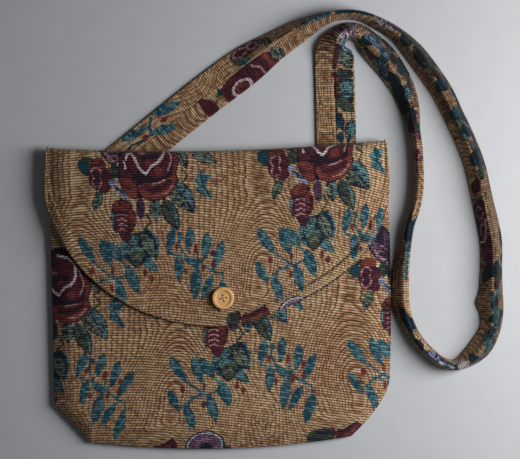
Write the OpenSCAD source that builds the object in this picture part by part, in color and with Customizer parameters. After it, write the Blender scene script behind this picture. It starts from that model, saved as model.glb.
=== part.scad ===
// Flat shoulder bag of floral tapestry cloth with a rounded flap, a wooden button and a cloth strap.
// It lies on its back: X runs across the bag, Y from its bottom to its fold, Z up from the surface.

/* [Bag] */
// Width of the bag across its fold
bag_w = 306; // [240:1:340]
// Length of the bag from its lowest point to its fold
bag_l = 278; // [240:1:300]
// Depth of the pouch between its linings
pouch_h = 8; // [6:0.5:16]
// How much the middle of the front stands up
crown = 3; // [0:0.5:8]
// Run over which the front rounds down to its side seams
edge_r = 20; // [12:1:30]
// How far the side seams lie above the surface
rim_rise = 1.5; // [0:0.1:3]
// Run over which the back rounds up to the side seams
rim_run = 10; // [4:1:20]
// How far the right side bows out
side_bow = 3.5; // [0:0.5:8]
// How far the fold sags at the middle of its length
top_sag = 6; // [0:0.5:10]
// How far the bottom edge bows down at its middle
bottom_bow = 8.5; // [2:0.5:14]

/* [Boxed corners] */
// Length taken from the bottom edge by the left corner
corner_in_left = 32; // [16:1:44]
// Length taken from the left side by its corner
corner_up_left = 35; // [16:1:60]
// Length taken from the bottom edge by the right corner
corner_in_right = 36; // [16:1:44]
// Length taken from the right side by its corner
corner_up_right = 51; // [16:1:60]

/* [Cloth] */
// Thickness of the tapestry cloth
cloth_t = 1.6; // [1:0.1:2.4]
// Thickness of the lining cloth
lining_t = 0.7; // [0.4:0.1:1.2]
// Air between two layers that lie on each other
layer_gap = 0.3; // [0.2:0.05:0.6]

/* [Flap] */
// Length of the flap's straight sides below the fold
flap_straight = 43; // [24:1:60]
// Depth of the rounded part below the straight sides
flap_depth = 122; // [80:1:140]
// How far the right half of the hem is drawn up
flap_skew = 10; // [0:1:16]
// Curve of the left half of the hem: 1 is an ellipse, less is fuller, more is slimmer
hem_left = 1.1; // [0.8:0.05:1.3]
// Curve of the right half of the hem
hem_right = 0.85; // [0.8:0.05:1.3]
// How far the sides of the flap bow out
flap_bow = 3.5; // [0:0.5:8]
// Length of the flap behind the fold, down to its seam with the back
flap_tuck = 20; // [16:1:30]
// Air between the flap's lining and the front
flap_gap = 0.5; // [0.4:0.1:2]
// Reach of the fold beyond the mouth, inside the flap
fold_r = 6; // [3:0.5:10]

/* [Button] */
// Diameter of the button
button_d = 20; // [14:0.5:30]
// Thickness of the button at its rim
button_t = 4; // [3:0.1:6]
// Width of the raised rim
rim_w = 3.6; // [2:0.1:5]
// Depth of the dish inside the rim
dish_depth = 1; // [0.4:0.1:1.6]
// Rounding of the button's edges
button_edge = 1.2; // [0.4:0.1:1.4]
// Diameter of the four thread holes
hole_d = 1.7; // [1.2:0.1:2.4]
// Distance of the thread holes from the button's middle
hole_r = 2.7; // [2:0.1:3.2]
// Turn of the hole cross on the button
button_turn = 11; // [0:1:45]
// Place of the button across the bag
button_x = 3.5; // [-20:0.5:20]
// Height of the button's middle above the tip of the flap
button_up = 25; // [16:0.5:50]

/* [Buttonhole and thread] */
// Length of the buttonhole
buttonhole_l = 20; // [14:0.5:30]
// Width of the buttonhole, opened by the thread shank
buttonhole_w = 4; // [3.6:0.1:6]
// Diameter of the wound thread shank
shank_d = 3; // [2:0.1:3.2]

/* [Strap] */
// Width of the strap when it lies flat
strap_w = 36; // [24:1:44]
// Thickness of the folded strap
strap_t = 3.4; // [2.4:0.1:4.4]
// Depth of the strap ends that lie under the bag
strap_reach = 48; // [30:1:60]

/* [Hidden] */

tapestry_tan = [0.60, 0.46, 0.31];
tapestry_shade = [0.50, 0.37, 0.24];
lining_brown = [0.36, 0.26, 0.18];
wood_gold = [0.82, 0.62, 0.36];
thread_olive = [0.42, 0.40, 0.24];

// Halves and levels that several pieces share
half_w = bag_w / 2;
half_l = bag_l / 2;
bottom_end_y = -half_l + bottom_bow;
right_round = 1.6;
bow_drop = 114;
bow_run = 110;
flap_y = half_l - flap_straight;
flap_tip_y = flap_y - flap_depth;
flap_bow_up = 9;
flap_bow_run = 45;
skew_start = 24;
flap_stack = cloth_t + layer_gap + lining_t;
rim_z = rim_rise + flap_stack + lining_t + 2 * layer_gap;
front_h = flap_stack + pouch_h + lining_t + layer_gap;
mouth_clear = 1.5;
mouth_drop = fold_r + flap_stack + mouth_clear;
strap_lift = strap_t + layer_gap;
lift_run = 60;
lift_y = half_l - strap_reach - lift_run;

// Number of cells across and along the sheets
panel_cols = 24;
panel_rows = 24;
flap_cols = 24;
flap_rows = 18;
fold_steps = 8;

// Curves used by the sheets
function clamp01(t) = min(max(t, 0), 1);
function ease(t) = let (k = clamp01(t)) k * k * (3 - 2 * k);
function rounded(t) = sin(90 * clamp01(t));
function hump(t) = max(0, 1 - t * t);
function mix(a, b, t) = a + (b - a) * t;
function column_angle(j, n) = -90 + 180 * j / n;

// Outline of the bag
function corner_in(side) = side > 0 ? corner_in_right : corner_in_left;
function corner_up(side) = side > 0 ? corner_up_right : corner_up_left;
function corner_share(side, y) = clamp01((bottom_end_y + corner_up(side) - y) / corner_up(side));
function corner_cut(side, y) =
    corner_in(side) * pow(corner_share(side, y), side > 0 ? right_round : 1);
function bow(side, y) = side > 0 ? side_bow * hump((half_l - bow_drop - y) / bow_run) : 0;
function edge(side, y) = half_w + bow(side, y) - corner_cut(side, y);
function top_y(x) = half_l - top_sag * (1 - pow(x / half_w, 2));
function side_of(x) = x < 0 ? -1 : 1;
function bottom_y(x) =
    -half_l + bottom_bow * min(1, pow(x / (half_w - corner_in(side_of(x))), 2));
function rim_distance(x, y) = max(0, min(edge(side_of(x), y) - abs(x), y - bottom_y(x)));

// Heights of the layers over a point of the bag
function lift(y) = strap_lift * ease((y - lift_y) / lift_run);
function dome(x, y) = crown * cos(90 * clamp01(abs(x) / half_w)) * cos(90 * clamp01(abs(y) / half_l));
function back_z(x, y) = lift(y) + rim_rise * pow(1 - clamp01(rim_distance(x, y) / rim_run), 2);
function front_z(x, y) =
    lift(y) + mix(rim_z, front_h + dome(x, y), rounded(rim_distance(x, y) / edge_r));
function flap_z(x, y) = front_z(x, y) + cloth_t + flap_gap;

// Points of a panel: top_drop is the distance of its upper edge from the fold.
// Rows and columns lie closer together towards the seams, where the cloth rounds down.
function row_share(i) = let (t = i / panel_rows) (t + 2 * sin(90 * t)) / 3;
function panel_point(j, i, top_drop) =
    let (u = sin(column_angle(j, panel_cols)),
         side_y = mix(half_l - top_drop, bottom_end_y, row_share(i)),
         x = u * edge(side_of(u), side_y),
         y = mix(top_y(u * half_w) - top_drop, bottom_y(x), row_share(i)))
    [x, y];
// A lining leaves out the outermost cells, so that it ends inside the outer seams
function panel_grid(top_drop, inside) =
    [for (i = [0:panel_rows - inside])
        [for (j = [inside:panel_cols - inside]) panel_point(j, i, top_drop)]];
function raise_back(grid, up) = [for (row = grid) [for (p = row) [p.x, p.y, back_z(p.x, p.y) + up]]];
function raise_front(grid, up) = [for (row = grid) [for (p = row) [p.x, p.y, front_z(p.x, p.y) + up]]];

// Points of the flap: out is the distance outwards from the inside of its lining
function flap_half(y) = half_w + flap_bow * hump((y - flap_y - flap_bow_up) / flap_bow_run);
function hem_y(a) =
    flap_y - flap_depth * pow(max(0, cos(a)), a < 0 ? hem_left : hem_right)
    + flap_skew * sin(2 * a) * ease(a / skew_start);
function fold_y(x) = top_y(x) - fold_r - flap_stack;
function flap_front_point(a, t, out) =
    let (y = mix(fold_y(sin(a) * half_w), hem_y(a), t),
         x = sin(a) * flap_half(y))
    [x, y, flap_z(x, y) + out];
function flap_fold_point(a, phi, out) =
    let (x = sin(a) * flap_half(half_l),
         y = fold_y(x),
         low = back_z(x, y) + flap_stack,
         high = flap_z(x, y))
    [x, y + (fold_r + out) * sin(phi), mix(low, high, (1 - cos(phi)) / 2) - out * cos(phi)];
function flap_tuck_point(a, out) =
    let (x = sin(a) * half_w,
         y = top_y(x) - flap_tuck + layer_gap)
    [x, y, back_z(x, y) + flap_stack - out];
function flap_row(k, out) =
    [for (j = [0:flap_cols]) let (a = column_angle(j, flap_cols))
        k == 0 ? flap_tuck_point(a, out)
        : k <= fold_steps + 1 ? flap_fold_point(a, 180 * (k - 1) / fold_steps, out)
        : flap_front_point(a, (k - fold_steps - 1) / flap_rows, out)];
function flap_grid(out) = [for (k = [0:fold_steps + 1 + flap_rows]) flap_row(k, out)];

// Closed sheet between an upper and a lower grid of points
module sheet(upper, lower) {
    cols = len(upper[0]);
    rows = len(upper);
    n = rows * cols;
    function at(i, j) = i * cols + j;
    cells = [for (i = [0:rows - 2]) for (j = [0:cols - 2])
        [at(i, j), at(i, j + 1), at(i + 1, j), at(i + 1, j + 1)]];
    upper_faces = [for (c = cells) each [[c[0], c[1], c[3]], [c[0], c[3], c[2]]]];
    lower_faces = [for (c = cells) each [[c[0] + n, c[3] + n, c[1] + n], [c[0] + n, c[2] + n, c[3] + n]]];
    rim = concat(
        [for (j = [0:cols - 2]) [at(0, j), at(0, j + 1)]],
        [for (i = [0:rows - 2]) [at(i, cols - 1), at(i + 1, cols - 1)]],
        [for (j = [cols - 1:-1:1]) [at(rows - 1, j), at(rows - 1, j - 1)]],
        [for (i = [rows - 1:-1:1]) [at(i, 0), at(i - 1, 0)]]);
    rim_faces = [for (e = rim) each [[e[1], e[0], e[0] + n], [e[1], e[0] + n, e[1] + n]]];
    polyhedron(
        points = concat([for (row = upper) each row], [for (row = lower) each row]),
        faces = concat(upper_faces, lower_faces, rim_faces));
}

// Buttonhole slot and the levels at the button
button_y = flap_tip_y + button_up;
button_flap_z = flap_z(button_x, button_y) + flap_stack;
thread_d = hole_d - 2 * layer_gap;
button_z = button_flap_z + thread_d + 2 * layer_gap;
dish_z = button_z + button_t - dish_depth;
shank_z = front_z(button_x, button_y) + cloth_t + layer_gap;

module buttonhole_slot() {
    translate([button_x - buttonhole_w / 2, button_y - buttonhole_l / 2, shank_z - cloth_t])
        cube([buttonhole_w, buttonhole_l, button_z - shank_z + 2 * cloth_t]);
}

// Outer cloth of the back, flat where the bag rests
module back_panel() {
    grid = panel_grid(flap_tuck, 0);
    color(tapestry_shade)
        sheet(raise_back(grid, cloth_t), raise_back(grid, 0));
}

// Outer cloth of the front, open at the mouth under the flap
module front_panel() {
    grid = panel_grid(mouth_drop, 0);
    color(tapestry_tan)
        sheet(raise_front(grid, cloth_t), raise_front(grid, 0));
}

// Outer cloth of the flap, from its seam behind the fold to its rounded hem
module flap() {
    color(tapestry_tan)
        difference() {
            sheet(flap_grid(flap_stack), flap_grid(lining_t + layer_gap));
            buttonhole_slot();
        }
}

// Back of the lining pouch
module lining_back() {
    grid = panel_grid(flap_tuck, 1);
    color(lining_brown)
        sheet(raise_back(grid, flap_stack), raise_back(grid, cloth_t + layer_gap));
}

// Front of the lining pouch
module lining_front() {
    grid = panel_grid(mouth_drop, 1);
    color(lining_brown)
        sheet(raise_front(grid, -layer_gap), raise_front(grid, -layer_gap - lining_t));
}

// Lining of the flap, which carries the lining of the back on to the hem
module flap_lining() {
    color(lining_brown)
        difference() {
            sheet(flap_grid(lining_t), flap_grid(0));
            buttonhole_slot();
        }
}

// Turned wooden button with a dished face and four thread holes
module button() {
    r = button_d / 2;
    e = button_edge;
    dish_r = r - rim_w;
    foot = [for (k = [0:4]) [r - e + e * sin(90 * k / 4), e - e * cos(90 * k / 4)]];
    crest = [for (k = [0:4]) [r - e + e * cos(90 * k / 4), button_t - e + e * sin(90 * k / 4)]];
    slope = [[dish_r + dish_depth, button_t], [dish_r, button_t - dish_depth]];
    profile = concat([[0, 0]], foot, crest, slope, [[0, button_t - dish_depth]]);
    color(wood_gold)
        translate([button_x, button_y, button_z])
            rotate(button_turn)
                difference() {
                    rotate_extrude($fn = 96) polygon(profile);
                    for (k = [0:3])
                        rotate(90 * k)
                            translate([hole_r, 0, -1]) cylinder(d = hole_d, h = button_t + 2, $fn = 24);
                }
}

// Thread: a cross over the dish, four legs, a cross under the button and the wound shank
module button_thread() {
    top_z = dish_z + layer_gap + thread_d / 2;
    low_z = button_z - layer_gap - thread_d / 2;
    color(thread_olive)
        translate([button_x, button_y, 0]) {
            rotate(button_turn)
                for (k = [0:3])
                    rotate(90 * k) {
                        translate([hole_r, 0, low_z]) cylinder(d = thread_d, h = top_z - low_z, $fn = 24);
                        for (z = [low_z, top_z])
                            translate([0, 0, z]) {
                                rotate([0, 90, 0]) cylinder(d = thread_d, h = hole_r, $fn = 24);
                                translate([hole_r, 0, 0]) sphere(d = thread_d, $fn = 24);
                            }
                    }
            translate([0, 0, shank_z]) cylinder(d = shank_d, h = low_z - shank_z, $fn = 32);
        }
}

// Strap route: place of the centre seam, then the droop of the left and the right half in degrees,
// both seen along the strap. Flat ends lie under the bag; between them the strap stands as a tent.
strap_route = [
    [-110, 107, 0, 0], [-71, 137, 0, 0], [-40, 161, 0, 0], [-11, 183, 0, 0], [17, 203, 5, 5],
    [50, 225, 45, 45], [79, 242, 62, 62], [99, 251, 80, 80], [116, 255, 86, 86], [133, 254, 86, 86],
    [149, 248, 80, 80], [168, 236, 76, 76], [185, 217, 66, 68], [206, 186, 64, 68], [218, 161, 66, 70],
    [229, 136, 66, 70], [237, 113, 66, 68], [243, 83, 66, 68], [248, 58, 64, 66], [250, 42, 64, 66],
    [250, 21, 66, 66], [249, 0, 62, 62], [249, -11, 60, 50], [249, -22, 62, 62], [247, -36, 66, 68],
    [239, -51, 64, 64], [228, -62, 74, 70], [216, -68, 84, 82], [204, -66, 84, 84], [192, -57, 84, 84],
    [180, -43, 80, 84], [172, -25, 68, 85], [169, -9, 60, 85], [169, 9, 60, 85], [170, 25, 66, 85],
    [172, 43, 78, 85], [175, 60, 85, 85], [181, 77, 85, 85], [184, 93, 84, 84], [185, 113, 85, 85],
    [184, 134, 85, 85], [182, 149, 82, 82], [178, 168, 70, 68], [172, 187, 62, 60], [163, 204, 54, 56],
    [152, 219, 50, 54], [141, 231, 56, 64], [132, 237, 74, 64], [122, 238, 80, 64], [114, 232, 74, 52],
    [111, 224, 34, 22], [110, 213, 6, 4], [110, 178, 0, 0], [110, 138, 0, 0], [110, 112, 0, 0]];

// Section of the strap at one route point, in [right, up] from the centre seam
function strap_half(side, droop) =
    let (h = strap_t / 2,
         root = max(h * sin(droop), 0.4),
         tip = [root + strap_w / 2 * cos(droop), -strap_w / 2 * sin(droop)],
         n = h * [sin(droop), cos(droop)])
    [[side * (root + n.x), n.y], [side * (tip.x + n.x), tip.y + n.y], [side * (tip.x - n.x), tip.y - n.y]];
function strap_section(left, right) =
    let (a = strap_half(-1, left),
         b = strap_half(1, right),
         h = strap_t / 2)
    [[0, h], b[0], b[1], b[2], [0, -h * max(cos(left), cos(right))], a[2], a[1], a[0]];
function strap_ridge_z(left, right) =
    max([for (d = [left, right]) strap_w / 2 * sin(d) + strap_t / 2 * cos(d)]);
function strap_ring(k) =
    let (p = strap_route[k],
         before = strap_route[max(k - 1, 0)],
         after = strap_route[min(k + 1, len(strap_route) - 1)],
         run = [after.x - before.x, after.y - before.y],
         ahead = run / norm(run),
         z = strap_ridge_z(p[2], p[3]))
    [for (q = strap_section(p[2], p[3])) [p.x + ahead.y * q.x, p.y - ahead.x * q.x, z + q.y]];

// Cloth strap folded to its centre seam, both ends flat under the bag
module shoulder_strap() {
    rings = [for (k = [0:len(strap_route) - 1]) strap_ring(k)];
    sides = len(rings[0]);
    last = (len(rings) - 1) * sides;
    under_seam = sides / 2;
    // both skins of the cloth are split from the seam to the edge, so they never cross where it twists
    walls = [for (k = [0:len(rings) - 2]) for (s = [0:sides - 1])
        let (a = k * sides + s, b = k * sides + (s + 1) % sides, edge_to_seam = s == 3 || s == 6)
        each edge_to_seam
            ? [[b, a, a + sides], [b + sides, b, a + sides]]
            : [[b + sides, b, a], [a + sides, b + sides, a]]];
    fan = [for (s = [1:sides - 2]) [under_seam, (under_seam + s) % sides, (under_seam + s + 1) % sides]];
    start_cap = fan;
    end_cap = [for (f = fan) [last + f[2], last + f[1], last + f[0]]];
    color(tapestry_tan)
        polyhedron(points = [for (ring = rings) each ring], faces = concat(walls, start_cap, end_cap));
}

back_panel();
front_panel();
flap();
lining_back();
lining_front();
flap_lining();
shoulder_strap();
button();
button_thread();
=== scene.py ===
"""Floral tapestry haversack with a rounded flap, a wooden button and a folded cloth strap."""
import math

import bpy
import numpy as np
from bpy.props import FloatProperty, FloatVectorProperty, PointerProperty
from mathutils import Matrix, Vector


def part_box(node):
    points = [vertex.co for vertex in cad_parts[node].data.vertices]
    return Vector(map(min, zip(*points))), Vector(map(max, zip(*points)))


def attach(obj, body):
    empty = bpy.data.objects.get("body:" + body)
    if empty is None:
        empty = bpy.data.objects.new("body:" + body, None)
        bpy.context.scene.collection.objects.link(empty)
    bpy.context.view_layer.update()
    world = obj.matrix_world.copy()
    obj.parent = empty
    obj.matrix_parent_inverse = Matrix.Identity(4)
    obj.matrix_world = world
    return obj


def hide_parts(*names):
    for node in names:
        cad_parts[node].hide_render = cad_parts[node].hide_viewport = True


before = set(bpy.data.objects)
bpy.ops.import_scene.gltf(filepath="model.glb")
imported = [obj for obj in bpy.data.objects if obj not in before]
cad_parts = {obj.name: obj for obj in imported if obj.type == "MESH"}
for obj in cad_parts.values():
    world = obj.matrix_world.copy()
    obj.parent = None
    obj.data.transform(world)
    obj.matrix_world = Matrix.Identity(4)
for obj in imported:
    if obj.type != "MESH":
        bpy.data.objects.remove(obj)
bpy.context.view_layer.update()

bl_info = {
    "name": "Tapestry haversack",
    "version": (1, 0, 0),
    "blender": (4, 5, 0),
    "location": "View3D > Sidebar > Haversack",
    "description": "Builds a cloth shoulder bag with a woven floral pattern around its frame",
    "category": "Add Mesh",
}

BODY = "root"
MM = 0.001


# Settings that a user would change

def length(name, description, default):
    """A size in metres."""
    return FloatProperty(name=name, description=description, default=default, unit="LENGTH", precision=4)


def angle(name, description, degrees):
    """An angle, given in degrees."""
    return FloatProperty(name=name, description=description, default=math.radians(degrees), unit="ROTATION")


def amount(name, description, default):
    """A plain number."""
    return FloatProperty(name=name, description=description, default=default)


def dye(name, description, red, green, blue):
    """A thread or surface colour, given as screen values from 0 to 255."""
    return FloatVectorProperty(
        name=name, description=description, subtype="COLOR_GAMMA", size=3, min=0, max=1,
        default=(red / 255, green / 255, blue / 255))


class HaversackBag(bpy.types.PropertyGroup):
    """Sizes of the pouch."""

    width: length("Width", "Width across the fold", 0.306)
    length: length("Length", "From the lowest point to the fold", 0.278)
    depth: length("Pouch depth", "Depth between the linings", 0.008)
    crown: length("Crown", "How much the middle of the front stands up", 0.003)
    edge_run: length("Edge run", "Run over which the front rounds down to its seams", 0.020)
    rim_rise: length("Rim rise", "Height of the side seams above the surface", 0.0015)
    rim_run: length("Rim run", "Run over which the back rounds up to its seams", 0.010)
    side_bow: length("Side bow", "How far the right side bows out", 0.0035)
    top_sag: length("Top sag", "How far the fold sags at its middle", 0.006)
    bottom_bow: length("Bottom bow", "How far the bottom edge bows down", 0.0085)
    corner_in_left: length("Left corner in", "Length taken from the bottom edge", 0.032)
    corner_up_left: length("Left corner up", "Length taken from the left side", 0.035)
    corner_in_right: length("Right corner in", "Length taken from the bottom edge", 0.036)
    corner_up_right: length("Right corner up", "Length taken from the right side", 0.051)
    cloth: length("Cloth", "Thickness of the tapestry", 0.0016)
    lining: length("Lining", "Thickness of the lining", 0.0007)
    layer_gap: length("Layer gap", "Air between two layers", 0.0003)


class HaversackFlap(bpy.types.PropertyGroup):
    """Sizes of the flap."""

    straight: length("Straight side", "Length of the straight sides below the fold", 0.043)
    depth: length("Depth", "Depth of the rounded part", 0.122)
    skew: length("Skew", "How far the right half of the hem is drawn up", 0.010)
    hem_left: amount("Left hem", "Curve of the left half of the hem: less than 1 is fuller", 1.1)
    hem_right: amount("Right hem", "Curve of the right half of the hem", 0.85)
    bow: length("Bow", "How far the sides bow out", 0.0035)
    tuck: length("Tuck", "Length behind the fold, down to its seam", 0.020)
    gap: length("Gap", "Air between the flap's lining and the front", 0.0005)
    fold: length("Fold", "Reach of the fold beyond the mouth", 0.006)


class HaversackStrap(bpy.types.PropertyGroup):
    """Sizes of the strap."""

    width: length("Width", "Width when it lies flat", 0.036)
    thickness: length("Thickness", "Thickness of the folded cloth", 0.0034)
    reach: length("Reach", "Depth of the ends that lie under the bag", 0.048)


class HaversackWeave(bpy.types.PropertyGroup):
    """Scale of the weave and of its drawing."""

    rib: length("Rib", "Pitch of the weft ribs", 0.00235)
    strap_rib: length("Strap rib", "Pitch of the ribs of the strap", 0.0021)
    rib_height: length("Rib height", "Height of a rib over its furrow", 0.00030)
    warp: length("Warp", "Width of a weave cell along a rib", 0.00085)
    square: length("Square", "Side of one square of the drawing", 0.00092)


class HaversackDyes(bpy.types.PropertyGroup):
    """Colours of the threads, the button and the floor."""

    cream: dye("Cream", "Lightest ground thread", 232, 200, 160)
    tan: dye("Tan", "Main ground thread", 168, 128, 90)
    clay: dye("Clay", "Reddish ground thread", 152, 102, 78)
    bark: dye("Bark", "Dark streaks of the ground", 76, 50, 30)
    teal: dye("Teal", "Leaves of the sprays", 34, 76, 92)
    sea: dye("Sea", "Light ribs of the teal leaves", 112, 152, 157)
    pine: dye("Pine", "Dark side of the leaves", 36, 52, 54)
    moss: dye("Moss", "Green leaves", 84, 94, 74)
    sage: dye("Sage", "Pale ribs of the green leaves", 130, 144, 124)
    wine: dye("Wine", "Petals in shade", 97, 44, 54)
    plum: dye("Plum", "Darkest folds of the petals", 52, 29, 39)
    rust: dye("Rust", "Petal rims", 142, 73, 61)
    blush: dye("Blush", "Light lines on the petals", 200, 152, 152)
    snow: dye("Snow", "White lines on the petals", 226, 216, 220)
    violet: dye("Violet", "Purple petals", 98, 66, 94)
    lilac: dye("Lilac", "Light ribs of the purple petals", 154, 124, 150)
    sky: dye("Sky", "Light blue rims", 150, 162, 194)
    ink: dye("Ink", "Blue-black outlines", 34, 34, 52)
    lining: dye("Lining", "Plain cotton lining", 112, 84, 62)
    wood: dye("Wood", "Button wood", 222, 178, 122)
    wood_grain: dye("Wood grain", "Darker grain of the button", 196, 146, 92)
    thread: dye("Thread", "Sewing thread", 176, 150, 106)
    floor: dye("Floor", "Pale floor", 182, 184, 187)


class HaversackStage(bpy.types.PropertyGroup):
    """Camera and light."""

    height: length("Camera height", "Height of the camera above the floor", 1.3)
    aim_x: length("Aim across", "Point under the camera, across the bag", 0.0382)
    aim_y: length("Aim along", "Point under the camera, along the bag", 0.0603)
    turn: angle("Turn", "Turn of the picture against the bag", -1.3)
    view_width: length("View width", "Width of floor that the picture takes in", 0.4784)
    key: amount("Key light", "Power of the soft light from the right, in watts", 8.6)
    fill: amount("Fill light", "Strength of the even light from all round", 0.075)


class HaversackSettings(bpy.types.PropertyGroup):
    """All settings of the haversack."""

    bag: PointerProperty(name="Bag", description="Sizes of the pouch", type=HaversackBag)
    flap: PointerProperty(name="Flap", description="Sizes of the flap", type=HaversackFlap)
    strap: PointerProperty(name="Strap", description="Sizes of the strap", type=HaversackStrap)
    weave: PointerProperty(name="Weave", description="Scale of the weave", type=HaversackWeave)
    dyes: PointerProperty(name="Dyes", description="Colours", type=HaversackDyes)
    stage: PointerProperty(name="Stage", description="Camera and light", type=HaversackStage)


def settings():
    """The settings kept on the scene."""
    return bpy.context.scene.haversack


# Curves shared by the cloth pieces, in metres

RIGHT_CORNER_ROUND = 1.6
BOW_DROP = 0.114
BOW_RUN = 0.110
LIFT_RUN = 0.060
FLAP_BOW_UP = 0.009
FLAP_BOW_RUN = 0.045
SKEW_START = math.radians(24)
MOUTH_CLEAR = 0.0015


def mix(a, b, t):
    """Value at share t of the way from a to b."""
    return a + (b - a) * t


def ease(t):
    """Smooth step from 0 to 1."""
    k = np.clip(t, 0, 1)
    return k * k * (3 - 2 * k)


def hump(t):
    """Round hill over -1 to 1."""
    return np.maximum(0, 1 - t * t)


def line_of(points):
    """Function whose graph over x runs straight from point to point."""
    places, heights = np.array(points).T
    return lambda x: np.interp(x, places, heights)


def half_width():
    """Half of the bag's width."""
    return settings().bag.width / 2


def half_length():
    """Half of the bag's length."""
    return settings().bag.length / 2


def flap_stack():
    """Thickness of the flap with its lining."""
    bag = settings().bag
    return bag.cloth + bag.layer_gap + bag.lining


def side_edge(x, y):
    """Distance of the side seam from the middle line, on the side of x."""
    bag = settings().bag
    right = x >= 0
    corner_in = np.where(right, bag.corner_in_right, bag.corner_in_left)
    corner_up = np.where(right, bag.corner_up_right, bag.corner_up_left)
    share = np.clip((bag.bottom_bow - half_length() + corner_up - y) / corner_up, 0, 1)
    cut = corner_in * share ** np.where(right, RIGHT_CORNER_ROUND, 1.0)
    bow = np.where(right, bag.side_bow * hump((half_length() - BOW_DROP - y) / BOW_RUN), 0)
    return half_width() + bow - cut


def top_edge(x):
    """Place of the fold along the bag."""
    return half_length() - settings().bag.top_sag * (1 - (x / half_width()) ** 2)


def bottom_edge(x):
    """Place of the bottom seam along the bag."""
    bag = settings().bag
    corner_in = np.where(x >= 0, bag.corner_in_right, bag.corner_in_left)
    return bag.bottom_bow * np.minimum(1, (x / (half_width() - corner_in)) ** 2) - half_length()


def seam_distance(x, y):
    """Distance to the nearest seam, 0 outside it."""
    return np.maximum(0, np.minimum(side_edge(x, y) - np.abs(x), y - bottom_edge(x)))


def strap_lift(y):
    """How far the strap ends lift the bag."""
    strap = settings().strap
    start = half_length() - strap.reach - LIFT_RUN
    return (strap.thickness + settings().bag.layer_gap) * ease((y - start) / LIFT_RUN)


def back_height(x, y):
    """Height of the outer face of the back."""
    bag = settings().bag
    rise = 1 - np.clip(seam_distance(x, y) / bag.rim_run, 0, 1)
    return strap_lift(y) + bag.rim_rise * rise ** 2


def front_height(x, y):
    """Height of the inner face of the front."""
    bag = settings().bag
    rim = bag.rim_rise + flap_stack() + bag.lining + 2 * bag.layer_gap
    top = flap_stack() + bag.depth + bag.lining + bag.layer_gap
    across = np.cos(np.pi / 2 * np.clip(np.abs(x) / half_width(), 0, 1))
    along = np.cos(np.pi / 2 * np.clip(np.abs(y) / half_length(), 0, 1))
    up = np.sin(np.pi / 2 * np.clip(seam_distance(x, y) / bag.edge_run, 0, 1))
    return strap_lift(y) + mix(rim, top + bag.crown * across * along, up)


def flap_height(x, y):
    """Height of the inner face of the flap's lining, where it lies on the front."""
    return front_height(x, y) + settings().bag.cloth + settings().flap.gap


def flap_half(y):
    """Half of the flap's width."""
    flap = settings().flap
    middle = half_length() - flap.straight + FLAP_BOW_UP
    return half_width() + flap.bow * hump((y - middle) / FLAP_BOW_RUN)


def hem_edge(x, y):
    """Place of the rounded hem along the bag, over x."""
    flap = settings().flap
    a = np.arcsin(np.clip(x / flap_half(y), -1, 1))
    drawn_up = flap.skew * np.sin(2 * a) * ease(a / SKEW_START)
    curve = np.cos(a) ** np.where(a < 0, flap.hem_left, flap.hem_right)
    return half_length() - flap.straight - flap.depth * curve + drawn_up


def fold_start(x):
    """Place along the bag where the flap leaves the front and turns over."""
    return top_edge(x) - settings().flap.fold - flap_stack()


def fold_levels(x):
    """Heights of the inside of the fold below and above."""
    y = fold_start(x)
    return back_height(x, y) + flap_stack(), flap_height(x, y)


def fold_run(x):
    """Length of cloth that the fold takes."""
    low, high = fold_levels(x)
    reach_out = settings().flap.fold + flap_stack()
    reach_up = (high - low) / 2 + flap_stack()
    return np.pi * np.sqrt((reach_out ** 2 + reach_up ** 2) / 2)


def flap_end(x):
    """Length of cloth, counted along the bag, at the seam behind the fold."""
    flap = settings().flap
    return fold_start(x) + fold_run(x) + flap.tuck - flap.fold - flap_stack() - settings().bag.layer_gap


# Cloth: cells of the weave laid over a curved outline

SLOPE_STEP = 0.0001
SNAP_ROUNDS = 5
TINY = 1e-9


def slope(inside, x, y):
    """Direction in which the distance from the outline grows."""
    along_x = inside(x + SLOPE_STEP, y) - inside(x - SLOPE_STEP, y)
    along_y = inside(x, y + SLOPE_STEP) - inside(x, y - SLOPE_STEP)
    return along_x / (2 * SLOPE_STEP), along_y / (2 * SLOPE_STEP)


class Cells:
    """Weave cells whose middles lie inside an outline, with the rim drawn on to that outline."""

    def __init__(self, inside, low, high, step, lean=np.zeros_like):
        columns = np.arange(low[0], high[0] + step[0], step[0])
        rows = np.arange(low[1], high[1] + step[1], step[1])
        count = len(columns)
        across, along = np.meshgrid(columns[:-1] + step[0] / 2, rows[:-1] + step[1] / 2)
        row, column = np.nonzero(inside(across, along + lean(across)) > 0)
        first = row * count + column
        quads = np.stack([first, first + 1, first + count + 1, first + count], axis=1)
        used, quads = np.unique(quads, return_inverse=True)
        self.quads = quads.reshape(-1, 4)
        self.x = columns[used % count]
        self.y = rows[used // count] + lean(self.x)
        self.crest = (used // count) % 2
        self.area = len(self.quads) * step[0] * step[1]
        self.find_rim()
        self.snap(inside, max(step))

    def find_rim(self):
        """Edges that have a cell on one side only, and their points."""
        edges = np.concatenate([self.quads[:, [k, (k + 1) % 4]] for k in range(4)])
        _, same, times = np.unique(np.sort(edges, axis=1), axis=0, return_inverse=True, return_counts=True)
        self.rim_edges = edges[times[same.ravel()] == 1]
        self.rim = np.unique(self.rim_edges)

    def snap(self, inside, most):
        """Moves the rim on to the outline and keeps its outward direction."""
        x, y = self.x[self.rim], self.y[self.rim]
        for _ in range(SNAP_ROUNDS):
            along_x, along_y = slope(inside, x, y)
            pull = inside(x, y) / (along_x ** 2 + along_y ** 2 + TINY)
            x = x - np.clip(pull * along_x, -most, most)
            y = y - np.clip(pull * along_y, -most, most)
        along_x, along_y = slope(inside, x, y)
        size = np.hypot(along_x, along_y) + TINY
        self.x[self.rim], self.y[self.rim] = x, y
        self.out_x, self.out_y = -along_x / size, -along_y / size


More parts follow.
